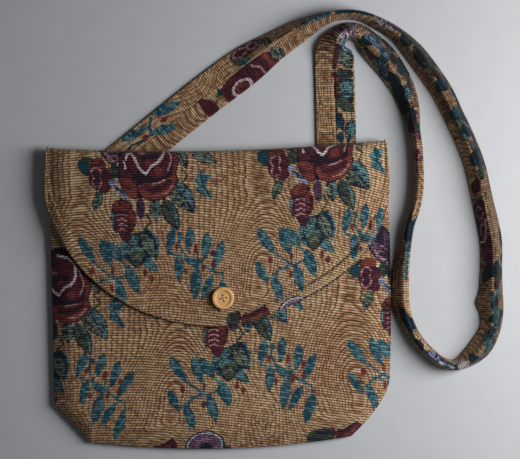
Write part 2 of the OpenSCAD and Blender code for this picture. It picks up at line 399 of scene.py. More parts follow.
def new_piece(name, points, faces, finish):
    """Smooth mesh object made of points and faces."""
    mesh = bpy.data.meshes.new(name)
    mesh.from_pydata(np.asarray(points).tolist(), [], [list(face) for face in faces])
    mesh.shade_smooth()
    mesh.materials.append(finish)
    piece = bpy.data.objects.new(name, mesh)
    bpy.context.scene.collection.objects.link(piece)
    return piece


def set_weave(piece, colours, flat):
    """Keeps the colour of each face corner, thread colour with painted shade and painted highlights, and
    the flat place of the cloth as its map.
    """
    mesh = piece.data
    layer = mesh.color_attributes.new("weave_colour_and_shade", "FLOAT_COLOR", "CORNER")
    opaque = np.concatenate([colours, np.ones((len(colours), 1))], axis=1)
    layer.data.foreach_set("color", opaque.astype(np.float32).ravel())
    chart = mesh.uv_layers.new(name="weave")
    chart.data.foreach_set("uv", flat.astype(np.float32).ravel())


def tapestry_piece(name, cells, place, face_out, roll, paint, finish, under=False):
    """Woven sheet: cells placed in space, their edge rolled over, and threads painted on, with painted
    shade darkening the furrow rows.

    place takes flat x, flat y and the distance outwards; roll lists steps away from the outline
    and outwards from the face. under turns the faces to look down.
    """
    rib = settings().weave.rib_height
    ribs = np.where(cells.crest > 0, 0.0, -rib)
    ribs[cells.rim] = -rib / 2
    flat_x, flat_y, crest = [cells.x], [cells.y], [cells.crest.astype(float)]
    points = [place(cells.x, cells.y, face_out + (-ribs if under else ribs))]
    faces = [cells.quads]
    before = np.zeros(len(cells.x), dtype=int)
    before[cells.rim] = cells.rim
    count = len(cells.x)
    for away, out in roll:
        x = cells.x[cells.rim] + away * cells.out_x
        y = cells.y[cells.rim] + away * cells.out_y
        points.append(place(x, y, face_out + out))
        flat_x.append(x)
        flat_y.append(y)
        crest.append(np.full(len(x), 0.5))
        after = before.copy()
        after[cells.rim] = count + np.arange(len(cells.rim))
        count += len(cells.rim)
        a, b = cells.rim_edges.T
        faces.append(np.stack([before[b], before[a], after[a], after[b]], axis=1))
        before = after
    faces = np.concatenate(faces)
    faces = faces[:, ::-1] if under else faces
    piece = new_piece(name, np.concatenate(points), faces, finish)
    flat_x, flat_y, crest = map(np.concatenate, (flat_x, flat_y, crest))
    thread, furrow = paint(flat_x[faces].mean(axis=1), flat_y[faces].mean(axis=1))
    # Painted shade: colours fade to the furrow shade on furrow rows and stay full on crest rows
    shade = crest[faces][:, :, None]
    colours = thread[:, None, :] * mix(furrow[:, None, :], 1.0, shade)
    flat = np.stack([flat_x[faces], flat_y[faces]], axis=2)
    set_weave(piece, colours.reshape(-1, 3), flat.reshape(-1, 2))
    return piece


# Drawing of the woven pattern, on squares counted from the heart of a rose: columns right, rows down

# Steps between the posies, and how far one reaches
POSY_ACROSS = 175
ROW_DROP = 188
POSY_REACH = (95, 145)
# Flecks of lighter and darker thread along a rib, and the painted shade of the furrow beside it
FLECK = 3.4
FLECK_SHIFT = 0.37
FLECK_CONTRAST = 1.5
FLECK_SPREAD = 1.25
SPECKLE = 1.2
SPECKLE_SHARE = 0.35
MOTIF_FURROW_SHADE = 0.14
GROUND_FURROW_SHADE = (0.10, 0.07, 0.045)
# Dark grain lines of the ground, the light dashes between them, and their waves: height and two lengths
STREAK_PITCH = 5.4
STREAK_HALF = 0.95
STREAK_RUN = 30
STREAK_JITTER = 1.5
STREAK_STEP = 9
STREAK_LEAST = (0.55, 0.7)
STREAK_SWELL = 0.35
DASH_FLECK = 0.6
DASH_CONTRAST = 1.2
LANE_SHADE = 0.4
WARM_PATCH = 19
WARM_WAVE = 0.4
WARM_SCATTER = 0.7
LIGHT_PATCH = 31
LIGHT_WAVE = 0.15
GRAIN_WAVES = ((2.6, 23, 45), (1.2, 9.1, 17))
GRAIN_DIP = (2.0, 21, 40)
# Arches of the grain beside a posy and its level run below one: middle, form and reach
ARCH = (-66, 66)
ARCH_ROUND = 16
ARCH_RISE = 64.8
ARCH_REACH = 80
ARCH_SPREAD = 48
ARCH_END = 30
ARCH_BAND = (38, 50)
ARCH_SHADE = (-0.75, 0.55)
EDDY = (8, 122)
EDDY_REACH = (34, 18)
EDDY_SLOPE = 1.2
EDDY_CURVE = 0.02
# Leaves: form, rim, midrib and veins
LEAF_SHOULDER = 0.85
LEAF_FULLNESS = 0.8
LEAF_RIM = 1.1
LEAF_RIM_DARK = 0.7
LEAF_SIDE_LIGHT = 0.2
MIDRIB_HALF = 0.6
MIDRIB_DARK = 0.6
VEIN_PITCH = 4.2
VEIN_SLANT = 0.9
VEIN_SHARE = 0.5
VEIN_LIGHT = 0.5
OUTLINE_STEPS = 5

# Sprays below a rose: leaves as stalk, tip and width, stems as lines, berries as place and half sizes
SPRAY_LEAVES = (
    (-70, 64, -54, 92, 10), (-48, 66, -38, 96, 10), (-41, 69, -27, 90, 11), (-22, 93, -12, 121, 12),
    (-33, 106, -26, 134, 10.5), (-7, 86, 8, 98, 10), (-72, 96, -62, 119, 8.5),
    (-56, 114, -47, 139, 9.5), (24, 55, 18, 81, 9), (41, 54, 38, 80, 9), (57, 61, 54, 88, 9.5),
    (72, 71, 61, 100, 9.5), (29, 81, 28, 109, 9.5), (33, 82, 49, 95, 8), (46, 94, 43, 127, 11),
    (61, 103, 50, 127, 9), (71, 111, 66, 142, 9.5), (28, 60, 33, 66, 5))
SPRAY_STEMS = (
    ((-55, 90), (-48, 96), (-40, 103), (-33, 108)), ((-29, 88), (-22, 96), (-16, 104)),
    ((-63, 118), (-52, 110), (-38, 104)), ((-52, 112), (-52, 140)),
    ((-38, 94), (-36, 107), (-25, 103), (-21, 108)), ((-50, 106), (-40, 109)), ((6, 96), (-3, 94)),
    ((29, 66), (29, 72), (33, 80), (46, 88), (56, 96), (63, 100)), ((47, 81), (48, 97)),
    ((18, 80), (30, 84)), ((62, 100), (70, 103), (71, 109), (68, 116)), ((53, 86), (48, 92)))
BERRIES = (
    (-37, 97, 1.8, 4), (-5, 99.5, 1.9, 4.5), (1, 105, 2.6, 3.4), (-58, 98, 2.6, 3.4),
    (-38, 115, 1.9, 4), (27, 74, 1.7, 3.8), (45.5, 76, 2.2, 4.4), (61.5, 82, 2.5, 3.2),
    (52, 95.5, 1.9, 4.4), (35, 98, 1.8, 3.2), (62, 92, 2.2, 2.4))
PETAL_LINES = (
    ((-11, 13), (0, 10.5), (12, 8.5), (24, 1.5)), ((-27, 5), (-17, 6), (-11, 13), (-10, 25)),
    ((-3, 19), (6, 18), (15, 15), (22, 9)), ((-24, -14), (-19, -3), (-13, 4)))


def screen_to_light(values):
    """Screen colour values as amounts of light."""
    values = np.asarray(values, dtype=float)
    return np.where(values <= 0.04045, values / 12.92, ((values + 0.055) / 1.055) ** 2.4)


def scatter(i, j):
    """Even spread of numbers from 0 to 1 over whole places i and j."""
    return np.modf(np.abs(np.sin(i * 12.9898 + j * 78.233) * 43758.5453))[0]


def ripple(c, r, size, seed):
    """Soft waves from about -1 to 1 over a length of size."""
    a = np.sin((c * 0.83 + r * 0.57) / size + seed)
    b = np.sin((r * 0.91 - c * 0.39) / (0.71 * size) + 2.3 * seed + 1.7)
    return 0.5 * (a + b)


def around(value, middle, period):
    """Distance from the nearest of the places that lie a period apart."""
    return (value - middle + period / 2) % period - period / 2


def spline(guides, steps):
    """Smooth curve through all guide points but the first and the last."""
    t = (np.arange(steps) / steps)[:, None]
    spans = []
    for a, b, c, d in zip(guides, guides[1:], guides[2:], guides[3:]):
        spans.append(b + 0.5 * t * (c - a + t * (2 * a - 5 * b + 4 * c - d + t * (3 * (b - c) + d - a))))
    return np.vstack(spans)


class Drawing:
    """Thread colours over the places of the cloth, painted shape over shape, and the painted shade of each
    furrow.
    """

    def __init__(self, columns, rows, line):
        dyes = settings().dyes
        self.dyes = {name: screen_to_light(getattr(dyes, name)) for name in HaversackDyes.__annotations__}
        self.c, self.r = columns, rows
        self.line = line
        along = columns / FLECK + FLECK_SHIFT * self.line
        first = np.floor(along)
        self.fleck = mix(scatter(first, self.line), scatter(first + 1, self.line), along - first)
        speckle = scatter(np.floor(columns / SPECKLE), self.line + 7)
        self.fleck = mix(self.fleck, speckle, SPECKLE_SHARE)
        self.fleck = np.clip(0.5 + FLECK_CONTRAST * (self.fleck - 0.5), 0, 1)
        self.thread = np.empty((len(columns), 3))
        self.furrow = np.empty((len(columns), 3))
        self.start = (0.0, 0.0)

    def near(self, left, top, right, bottom):
        """Places within a box of the posy that is being drawn, and their columns and rows there."""
        c, r = self.c - self.start[0], self.r - self.start[1]
        at = np.nonzero((c > left) & (c < right) & (r > top) & (r < bottom))[0]
        return at, c[at], r[at]

    def dye(self, at, dark, light, share):
        """Colours the places with a blend of two dyes; the blend changes along each rib."""
        blend = np.clip(share + FLECK_SPREAD * (self.fleck[at] - 0.5), 0, 1)[:, None]
        self.thread[at] = mix(self.dyes[dark], self.dyes[light], blend)
        # Painted shade of the furrows beside the motif ribs
        self.furrow[at] = MOTIF_FURROW_SHADE

    def patch(self, outline, dark, light, share=0.5):
        """Area within a smooth closed line through the points of outline."""
        points = np.array(outline, dtype=float)
        edge = spline(np.vstack([points[-1:], points, points[:2]]), OUTLINE_STEPS)
        at, c, r = self.near(*edge.min(axis=0), *edge.max(axis=0))
        inside = np.zeros(len(at), dtype=bool)
        for (c0, r0), (c1, r1) in zip(edge, np.roll(edge, -1, axis=0)):
            if r0 != r1:
                inside ^= ((r0 > r) != (r1 > r)) & (c < c0 + (r - r0) * (c1 - c0) / (r1 - r0))
        self.dye(at[inside], dark, light, share)

    def oval(self, column, row, wide, high, dark, light, share=0.4, turn=0.0, hollow=0.0):
        """Oval, or a ring where hollow is the share of it that stays open."""
        reach = max(wide, high)
        at, c, r = self.near(column - reach, row - reach, column + reach, row + reach)
        t = math.radians(turn)
        c, r = c - column, r - row
        u = (c * math.cos(t) + r * math.sin(t)) / wide
        v = (r * math.cos(t) - c * math.sin(t)) / high
        size = u * u + v * v
        self.dye(at[(size < 1) & (size >= hollow * hollow)], dark, light, share)

    def leaf(self, column, row, tip_column, tip_row, width, dark, light, share=0.4, veins=0.9):
        """Pointed leaf from its stalk to its tip, with a dark edge, a dark midrib and light veins."""
        at, c, r = self.near(
            min(column, tip_column) - width, min(row, tip_row) - width,
            max(column, tip_column) + width, max(row, tip_row) + width)
        run = np.array([tip_column - column, tip_row - row], dtype=float)
        size = np.hypot(*run)
        ahead = run / size
        t = ((c - column) * ahead[0] + (r - row) * ahead[1]) / size
        off = (c - column) * ahead[1] - (r - row) * ahead[0]
        half = width / 2 * np.sin(np.pi * np.clip(t, 0, 1) ** LEAF_SHOULDER) ** LEAF_FULLNESS
        inside = (t > 0) & (t < 1) & (np.abs(off) < half)
        t, off, half = t[inside], off[inside], half[inside]
        aside = np.abs(off)
        vein = ((t * size - VEIN_SLANT * aside) / VEIN_PITCH) % 1 < VEIN_SHARE
        shade = VEIN_LIGHT * vein - LEAF_RIM_DARK * (aside > half - LEAF_RIM)
        shade = shade - MIDRIB_DARK * (aside < MIDRIB_HALF)
        self.dye(at[inside], dark, light, share + LEAF_SIDE_LIGHT * off / width + veins * shade)

    def stroke(self, points, width, dark, light, share=0.5):
        """Line of even width through points."""
        for (c0, r0), (c1, r1) in zip(points, points[1:]):
            at, c, r = self.near(
                min(c0, c1) - width, min(r0, r1) - width, max(c0, c1) + width, max(r0, r1) + width)
            run = np.array([c1 - c0, r1 - r0], dtype=float)
            t = np.clip(((c - c0) * run[0] + (r - r0) * run[1]) / (run @ run), 0, 1)
            far = np.hypot(c - c0 - t * run[0], r - r0 - t * run[1])
            self.dye(at[far < width / 2], dark, light, share)

    def ground(self):
        """Ribbed tan ground: light dashes between dark grain lines that arch beside each posy."""
        c, r = self.c, self.r
        jitter = STREAK_JITTER * (scatter(np.floor(c / STREAK_STEP), self.line) - 0.5)
        line = (self.grain() + jitter) / STREAK_PITCH
        across, down = around(c, ARCH[0], POSY_ACROSS), around(r, ARCH[1], ROW_DROP)
        arch = np.exp(-(across / ARCH_BAND[0]) ** 2 - (down / ARCH_BAND[1]) ** 2)
        nearest, lane = np.round(line), np.floor(line)
        dash = mix(scatter(lane, self.line), self.fleck, DASH_FLECK)
        warm = 0.5 + WARM_WAVE * ripple(c, r, WARM_PATCH, 0.4)
        warm = warm + WARM_SCATTER * (scatter(lane + 5, self.line + 3) - 0.5)
        light = 0.5 + DASH_CONTRAST * (dash - 0.5) + LANE_SHADE * (line - lane - 0.5)
        light = light + LIGHT_WAVE * ripple(c, r, LIGHT_PATCH, 2.1) + arch * mix(*ARCH_SHADE, line - lane)
        thread = mix(self.dyes["tan"], self.dyes["clay"], np.clip(warm, 0, 1)[:, None])
        self.thread[:] = mix(thread, self.dyes["cream"], np.clip(light, 0, 1)[:, None])
        # Painted shade of the furrows beside the ground ribs, tinted warm
        self.furrow[:] = GROUND_FURROW_SHADE
        off = np.abs(line - nearest) * STREAK_PITCH
        depth = mix(STREAK_LEAST[0], 1, scatter(nearest, np.floor(r / STREAK_RUN)))
        depth = depth * mix(STREAK_LEAST[1], 1, scatter(nearest + 9, self.line))
        streak = depth * np.clip(2 * (1 - off / (STREAK_HALF * (1 + STREAK_SWELL * arch))), 0, 1)
        self.thread[:] = mix(self.thread, self.dyes["bark"], streak[:, None])

    def grain(self):
        """Field whose level lines are the dark grain: upright, in arches beside a posy, level below it."""
        c = self.c
        for high, down, aside in GRAIN_WAVES:
            c = c + high * np.sin(self.r / down + self.c / aside)
        high, aside, down = GRAIN_DIP
        r = self.r + high * np.sin(self.c / aside + self.r / down)
        across, down = around(c, ARCH[0], POSY_ACROSS), around(r, ARCH[1], ROW_DROP)
        size = np.abs(across)
        upright = np.where(size < ARCH_ROUND, across ** 2 / (2 * ARCH_ROUND), size - ARCH_ROUND / 2)
        fall = ease(down / ARCH_REACH + 0.5) * ease((ROW_DROP / 2 - down) / ARCH_END)
        field = upright - ARCH_RISE * fall * np.exp(-(across / ARCH_SPREAD) ** 2)
        beside, below = around(c, EDDY[0], POSY_ACROSS), around(r, EDDY[1], ROW_DROP)
        level = np.exp(-(beside / EDDY_REACH[0]) ** 2 - (below / EDDY_REACH[1]) ** 2)
        return field + level * (EDDY_SLOPE * below + EDDY_CURVE * beside ** 2)

    def rose(self):
        """Open rose with a white-lined bowl and a broad rust-rimmed petal below."""
        self.patch(((-29, -6), (-29, 8), (-24, 20), (-16, 27), (-6, 26), (4, 30), (15, 27), (24, 20),
                    (30, 9), (28, 2), (31, -10), (28, -24), (20, -38), (6, -45), (-10, -43), (-22, -34),
                    (-28, -20)), "ink", "plum", 0.7)
        self.patch(((-28, -8), (-23, -20), (-15, -22), (-12, -12), (-10, -2), (-14, 5), (-25, 4)),
                   "plum", "wine", 0.7)
        self.patch(((-28, 6), (-20, 6), (-12, 9), (-10, 16), (-11, 25), (-17, 26), (-24, 18)),
                   "wine", "rust", 0.5)
        self.stroke(((-26, 13), (-19, 17), (-12, 15)), 1.3, "ink", "plum")
        self.patch(((22, -34), (28, -22), (30, -10), (27, 2), (24, 3), (25, -8), (24, -20), (20, -32)),
                   "wine", "rust", 0.35)
        self.patch(((15, -20), (21, -20), (23, -8), (20, 1), (12, 6), (4, 6), (2, 2), (8, -5), (14, -11)),
                   "plum", "wine", 0.8)
        self.oval(10.5, 0, 4.5, 4, "wine", "rust", 0.55)
        self.patch(((-14, -18), (-9, -6), (-2, 1), (4, -6), (10, -10), (15, -18), (17, -30), (8, -38),
                    (-6, -38), (-15, -30)), "plum", "wine", 0.75)
        self.oval(0, -9, 4, 3, "wine", "rust", 0.6)
        self.oval(-7, -19, 4, 2.4, "wine", "blush", 0.35)
        self.oval(-4, -13, 3, 3.4, "ink", "pine", 0.4)
        self.oval(6, -16, 4, 3, "ink", "plum", 0.5)
        self.stroke(((-22, -3), (-22.5, -10), (-20, -17), (-17, -19), (-14, -15.5), (-9.5, -5.5),
                     (-6, -0.5), (-1.5, 2.3), (1.5, -2), (4, -5.5), (10, -9), (14, -14), (16, -20),
                     (15, -31), (8, -36), (-2, -37)), 2.5, "blush", "snow", 0.7)
        self.stroke(((20, -1), (22.7, -8.4), (23.4, -14), (21, -20), (17, -29)), 1.8, "wine", "blush", 0.8)
        self.patch(((-10, 16), (-6, 11), (2, 12), (10, 11), (18, 7.5), (26, 3.5), (28.5, 9), (23, 20),
                    (14, 26), (4, 28.5), (-5.5, 24.5)), "wine", "rust", 0.6)
        self.patch(((-4, 13), (6, 13.5), (14, 11), (22, 7.5), (22, 13), (14, 19), (4, 21), (-3, 18)),
                   "plum", "wine", 0.85)
        for points in PETAL_LINES:
            self.stroke(points, 1.5, "ink", "plum", 0.55)
        self.stroke(((5, 12.5), (11, 11), (17, 8)), 1.7, "rust", "blush", 0.8)
        self.stroke(((8, 23.5), (17, 22), (22.5, 16), (25, 12)), 1.6, "rust", "blush", 0.55)

    def buds(self):
        """Two buds left of the rose, with blue and purple petals between them."""
        self.patch(((-50, -40), (-42, -46), (-30, -42), (-24, -28), (-26, -14), (-33, -6), (-40, -10),
                    (-48, -22)), "ink", "plum", 0.5)
        self.patch(((-48, -38), (-42, -43), (-36, -38), (-40, -30), (-46, -28)), "ink", "violet", 0.75)
        self.patch(((-33, -39), (-27, -34), (-26, -24), (-32, -24)), "ink", "violet", 0.7)
        self.patch(((-47, -25), (-40, -27), (-30, -22), (-27, -15), (-33, -8), (-40, -12)),
                   "plum", "lilac", 0.4)
        self.stroke(((-46, -23), (-38, -19), (-29, -18)), 1.4, "ink", "violet", 0.3)
        self.stroke(((-42, -15), (-36, -17), (-31, -12)), 1.4, "ink", "violet", 0.3)
        self.oval(-36, -31, 4, 5, "ink", "plum", 0.3)
        self.stroke(((-44, -22), (-38, -14), (-33, -10)), 1.3, "violet", "blush", 0.7)
        self.oval(-60, -11, 6, 4, "pine", "moss", 0.35)
        self.leaf(-68, -11, -55, 6, 11, "pine", "teal", 0.6)
        self.oval(-33, 0, 5.5, 7, "pine", "moss", 0.3)
        self.oval(-49, -5, 8.5, 8.5, "plum", "rust", 0.55)
        self.oval(-43, 9, 7.5, 13, "plum", "wine", 0.65)
        self.oval(-51, 6, 7.5, 12, "plum", "wine", 0.6)
        self.oval(-51, 1, 5.6, 6, "wine", "blush", 0.5, 0, 0.66)
        self.oval(-50.5, 11, 5.4, 6, "wine", "blush", 0.5, 0, 0.66)
        self.oval(-50.5, 6, 2.6, 6.5, "ink", "wine", 0.35)
        self.leaf(-46, 19, -54, 39, 10, "pine", "sage", 0.3)
        self.oval(-35, 11, 3.6, 3.6, "ink", "sky", 0.8)
        self.stroke(((-32, 16), (-27, 20), (-21, 26)), 4.6, "ink", "sky", 0.7)
        self.stroke(((-33, 14), (-23, 23)), 1.4, "ink", "violet", 0.2)
        self.stroke(((-34, 22), (-32, 30)), 2.2, "sage", "snow", 0.4)
        self.oval(-8, 36, 4.5, 10, "ink", "violet", 0.5)
        self.leaf(-35, 36, -34, 60, 6, "pine", "sea", 0.5)
        self.leaf(-25, 52, -22, 71, 13, "ink", "wine", 0.6)
        self.oval(-26, 36, 10.5, 9, "plum", "rust", 0.5)
        self.oval(-18, 49, 5.5, 12, "plum", "rust", 0.45, 8)
        self.oval(-27, 50, 8, 12, "plum", "wine", 0.8)
        for row in (43, 48, 53, 58):
            self.stroke(((-31, row), (-26, row - 1.5), (-22, row + 1)), 1.6, "wine", "blush", 0.75)
        self.stroke(((-36, 36), (-30, 41), (-22, 40), (-16, 34)), 1.5, "ink", "plum")
        self.stroke(((-4, 28), (0, 32), (-1, 41)), 2, "bark", "cream", 0.6)
        self.stroke(((-8, 46), (-2, 42), (2, 50), (-4, 56), (-6, 63)), 2, "pine", "moss", 0.5)

    def leaves(self):
        """Leaves round the rose and the curled leaf below it."""
        self.leaf(6, 26, 7, 49, 13, "ink", "sage", 0.36)
        self.stroke(((9, 30), (10, 36), (9, 43)), 2.4, "teal", "sea", 0.5)
        self.leaf(25, 9, 45, 41, 19, "ink", "sea", 0.34)
        self.leaf(19, 17, 41, 39, 12, "ink", "sage", 0.32)
        self.leaf(15, 27, 29, 58, 16, "ink", "moss", 0.46)
        self.stroke(((22, 31), (27, 42), (28, 53)), 2.2, "teal", "sea", 0.5)
        self.patch(((52, -1), (55, 3), (61, 5.5), (59.5, 10), (57, 15), (60, 21), (62.7, 28.5), (58, 27),
                    (53.5, 24), (47.5, 19), (48.5, 13), (45, 8), (49, 5)), "teal", "sea", 0.4)
        self.stroke(((52, 2), (54, 14), (60, 26)), 1.3, "ink", "teal", 0.4)
        self.leaf(29, -26, 38, -3, 11, "ink", "sage", 0.35)
        self.leaf(42, -22, 68, -6, 13, "ink", "sage", 0.5)
        self.stroke(((33, -3), (39, 4), (34, 11), (38, 16)), 1.8, "pine", "moss", 0.5)
        self.leaf(-7, 86, 6, 96, 9, "teal", "sea", 0.45)
        self.patch(((-28, 72), (-22, 63), (-10, 60), (0, 57), (8, 68), (7, 82), (-3, 86), (-8, 92),
                    (-14, 95), (-20, 90), (-26, 84)), "ink", "teal", 0.35)
        self.leaf(-29, 80, -9, 62, 14, "pine", "sea", 0.4)
        self.leaf(-7, 61, 5, 85, 13, "ink", "sage", 0.42)
        self.stroke(((2, 58), (7, 66), (8.5, 76), (6, 86)), 2.2, "teal", "sea", 0.35)
        self.patch(((-20, 76), (-14, 73), (-7, 76), (-5, 83), (-9, 91), (-14, 93), (-19, 86)),
                   "ink", "moss", 0.8)
        self.stroke(((-20, 80), (-15, 75), (-8, 77)), 2.8, "teal", "sea", 0.8)
        self.stroke(((-17, 86), (-11, 82), (-9, 87)), 1.8, "moss", "sage", 0.6)
        self.stroke(((-27, 74), (-26, 82), (-21, 88)), 2.2, "teal", "sea", 0.3)

    def sprays(self):
        """Two sprays of plain teal leaves with berries, below the rose."""
        for points in SPRAY_STEMS:
            self.stroke(points, 2.2, "teal", "sea", 0.3)
        for leaf in SPRAY_LEAVES:
            self.leaf(*leaf, "teal", "sea", 0.26, veins=0.2)
        self.oval(40, 81, 4.5, 2.4, "rust", "cream", 0.5)
        for berry in BERRIES:
            self.oval(*berry, "wine", "rust", 0.5)

    def posy(self, column, row):
        """Bunch of flowers with its rose at this place."""
        self.start = (column, row)
        self.sprays()
        self.leaves()
        self.buds()
        self.rose()
        self.start = (0.0, 0.0)

    def second_posy(self, column, row):
        """Bunch with a dark rose and a blue-rimmed pansy, set between the others."""
        self.start = (column, row)
        self.patch(((-14, -38), (-8, -40), (0, -43), (7, -46), (11, -43), (12, -34), (2, -24), (-10, -24),
                    (-15, -32)), "plum", "wine", 0.75)
        self.patch(((-8, -35), (0, -39), (6, -41), (0, -33)), "wine", "rust", 0.7)
        self.stroke(((-15, -38), (-4, -42), (8, -47)), 1.7, "ink", "plum")
        self.oval(-23, -38, 7, 7.5, "ink", "moss", 0.55, 15)
        self.stroke(((-18, -44), (-16, -38), (-11, -41)), 3.2, "ink", "wine", 0.7)
        self.oval(39, -36, 19.5, 15.5, "ink", "plum", 0.3)
        self.oval(39, -36, 18, 14, "sky", "snow", 0.45, 0, 0.88)
        self.oval(39, -35.5, 15.4, 12, "violet", "lilac", 0.3)
        self.oval(40, -33, 7, 6, "ink", "violet", 0.3)
        self.stroke(((27, -38), (36, -43), (46, -43)), 1.5, "violet", "blush", 0.7)
        self.leaf(58, -34, 70, -16, 9, "pine", "teal", 0.5)
        self.start = (0.0, 0.0)


def tapestry(columns, rows, line, second):
    """Drawing of the patterned cloth: posies in rows, and a second kind at a step from the first."""
    cloth = Drawing(columns, rows, line)
    cloth.ground()
    for j in range(*reach(rows, POSY_REACH[1], 2 * ROW_DROP)):
        for i in range(*reach(columns, POSY_REACH[0], POSY_ACROSS)):
            cloth.posy(POSY_ACROSS * i, 2 * ROW_DROP * j)
            cloth.second_posy(POSY_ACROSS * i + second[0], 2 * ROW_DROP * j + second[1])
    return cloth


def reach(places, margin, period):
    """First and last count of a period, and one more, that touch the places."""
    low = math.floor((places.min() - 2 * margin) / period)
    return low, math.ceil((places.max() + 2 * margin) / period) + 1


# Finishes

def node(tree, kind, place, **values):
    """Adds a shader node and sets its inputs by name."""
    made = tree.nodes.new(kind)
    made.location = (200 * place, 0)
    for name, value in values.items():
        made.inputs[name.replace("_", " ")].default_value = value
    return made


def texture(tree, kind, place, chart, **values):
    """Adds a pattern that is laid out by a socket of coordinates."""
    made = node(tree, kind, place, **values)
    tree.links.new(chart, made.inputs["Vector"])
    return made


def object_chart(tree):
    """Coordinates that stay with the piece."""
    return node(tree, "ShaderNodeTexCoord", -7).outputs["Object"]


def shade_by(tree, shader, pattern, dark, light, low=0.0, high=1.0):
    """Colours a shader by a pattern: dark up to the level low, light from the level high."""
    ramp = node(tree, "ShaderNodeValToRGB", -3)
    for stop, level, colour in zip(ramp.color_ramp.elements, (low, high), (dark, light)):
        stop.position = level
        stop.color = (*colour, 1)
    tree.links.new(pattern.outputs["Fac"], ramp.inputs["Fac"])
    tree.links.new(ramp.outputs["Color"], shader.inputs["Base Color"])


def raise_by(tree, shader, height, strength, distance):
    """Gives a shader fine relief from a socket of heights."""
    bump = node(tree, "ShaderNodeBump", -2, Strength=strength, Distance=distance)
    tree.links.new(height, bump.inputs["Height"])
    tree.links.new(bump.outputs["Normal"], shader.inputs["Normal"])


def joined(tree, operation, first, second):
    """Socket with two patterns worked together."""
    made = node(tree, "ShaderNodeMath", -3)
    made.operation = operation
    tree.links.new(first.outputs["Fac"], made.inputs[0])
    tree.links.new(second.outputs["Fac"], made.inputs[1])
    return made.outputs["Value"]


def new_finish(name, rough, specular, sheen=0.0):
    """Material with a main shader whose even values sit on its own sockets."""
    finish = bpy.data.materials.new(name)
    finish.use_nodes = True
    shader = finish.node_tree.nodes["Principled BSDF"]
    shader.inputs["Roughness"].default_value = rough
    shader.inputs["Specular IOR Level"].default_value = specular
    shader.inputs["Sheen Weight"].default_value = sheen
    return finish, finish.node_tree, shader


def tapestry_finish(name):
    """Woven cloth: thread colours with painted shade and highlights, fibres that break them up, and the
    warp as fine relief.
    """
    finish, tree, shader = new_finish(name, 0.92, 0.12, 0.08)
    link = tree.links.new
    colour = node(tree, "ShaderNodeVertexColor", -5)
    colour.layer_name = "weave_colour_and_shade"
    weave = node(tree, "ShaderNodeUVMap", -6)
    weave.uv_map = "weave"
    chart = weave.outputs["UV"]
    fibre = texture(tree, "ShaderNodeTexNoise", -4, chart, Scale=1500.0, Detail=3.0, Roughness=0.7)
    fade = node(tree, "ShaderNodeMapRange", -3, From_Min=0.3, From_Max=0.7, To_Min=0.72, To_Max=1.22)
    link(fibre.outputs["Fac"], fade.inputs["Value"])
    tint = node(tree, "ShaderNodeVectorMath", -2)
    tint.operation = "SCALE"
    link(colour.outputs["Color"], tint.inputs[0])
    link(fade.outputs["Result"], tint.inputs["Scale"])
    link(tint.outputs["Vector"], shader.inputs["Base Color"])
    bands = 1 / (2 * math.pi * settings().weave.warp)
    warp = texture(tree, "ShaderNodeTexWave", -4, chart, Scale=bands, Distortion=1.2)
    warp.bands_direction = "X"
    raise_by(tree, shader, joined(tree, "ADD", warp, fibre), 0.2, 0.0002)
    return finish


def cotton_finish(name):
    """Plain cotton: a fine even weave with slubs."""
    finish, tree, shader = new_finish(name, 0.95, 0.1, 0.1)
    chart = object_chart(tree)
    slub = texture(tree, "ShaderNodeTexNoise", -4, chart, Scale=420.0, Detail=4.0)
    colour = screen_to_light(settings().dyes.lining)
    shade_by(tree, shader, slub, 0.7 * colour, 1.15 * colour, 0.3, 0.7)
    threads = []
    for direction in "XY":
        thread = texture(tree, "ShaderNodeTexWave", -4, chart, Scale=300.0, Distortion=0.8)
        thread.bands_direction = direction
        threads.append(thread)
    raise_by(tree, shader, joined(tree, "MAXIMUM", *threads), 0.4, 0.0002)
    return finish


def wood_finish():
    """Pale turned wood with fine grain under a satin seal."""
    finish, tree, shader = new_finish("button_wood", 0.42, 0.4)
    dyes = settings().dyes
    stretch = texture(tree, "ShaderNodeMapping", -6, object_chart(tree), Scale=(60.0, 900.0, 900.0),
                      Rotation=(0, 0, math.radians(20)))
    grain = texture(tree, "ShaderNodeTexNoise", -5, stretch.outputs["Vector"], Scale=1.0, Detail=5.0,
                    Roughness=0.6, Distortion=0.4)
    shade_by(tree, shader, grain, screen_to_light(dyes.wood_grain), screen_to_light(dyes.wood), 0.36, 0.6)
    raise_by(tree, shader, grain.outputs["Fac"], 0.12, 0.0002)
    return finish


def thread_finish():
    """Twisted sewing thread, its colour darker in the grooves of the twist as painted shade."""
    finish, tree, shader = new_finish("sewing_thread", 0.8, 0.2, 0.2)
    twist = texture(tree, "ShaderNodeTexWave", -5, object_chart(tree), Scale=700.0, Distortion=2.0,
                    Detail=2.0)
    twist.bands_direction = "DIAGONAL"
    colour = screen_to_light(settings().dyes.thread)
    shade_by(tree, shader, twist, 0.55 * colour, 1.2 * colour)
    raise_by(tree, shader, twist.outputs["Fac"], 0.5, 0.0001)
    return finish


def floor_finish():
    """Pale matt floor with a faint grain."""
    finish, tree, shader = new_finish("pale_floor", 0.9, 0.2)
    grain = texture(tree, "ShaderNodeTexNoise", -4, object_chart(tree), Scale=60.0, Detail=4.0)
    colour = screen_to_light(settings().dyes.floor)
    shade_by(tree, shader, grain, 0.95 * colour, 1.04 * colour)
    return finish


# Stage

SENSOR = 36.0
FLOOR_HALF = 3.0
KEY_PLACE = (0.66, 0.08, 0.50)
KEY_AIM = (0.16, 0.05, 0.0)
KEY_SIZE = (0.36, 0.62)
FILL_TINT = (0.93, 0.96, 1.0, 1)


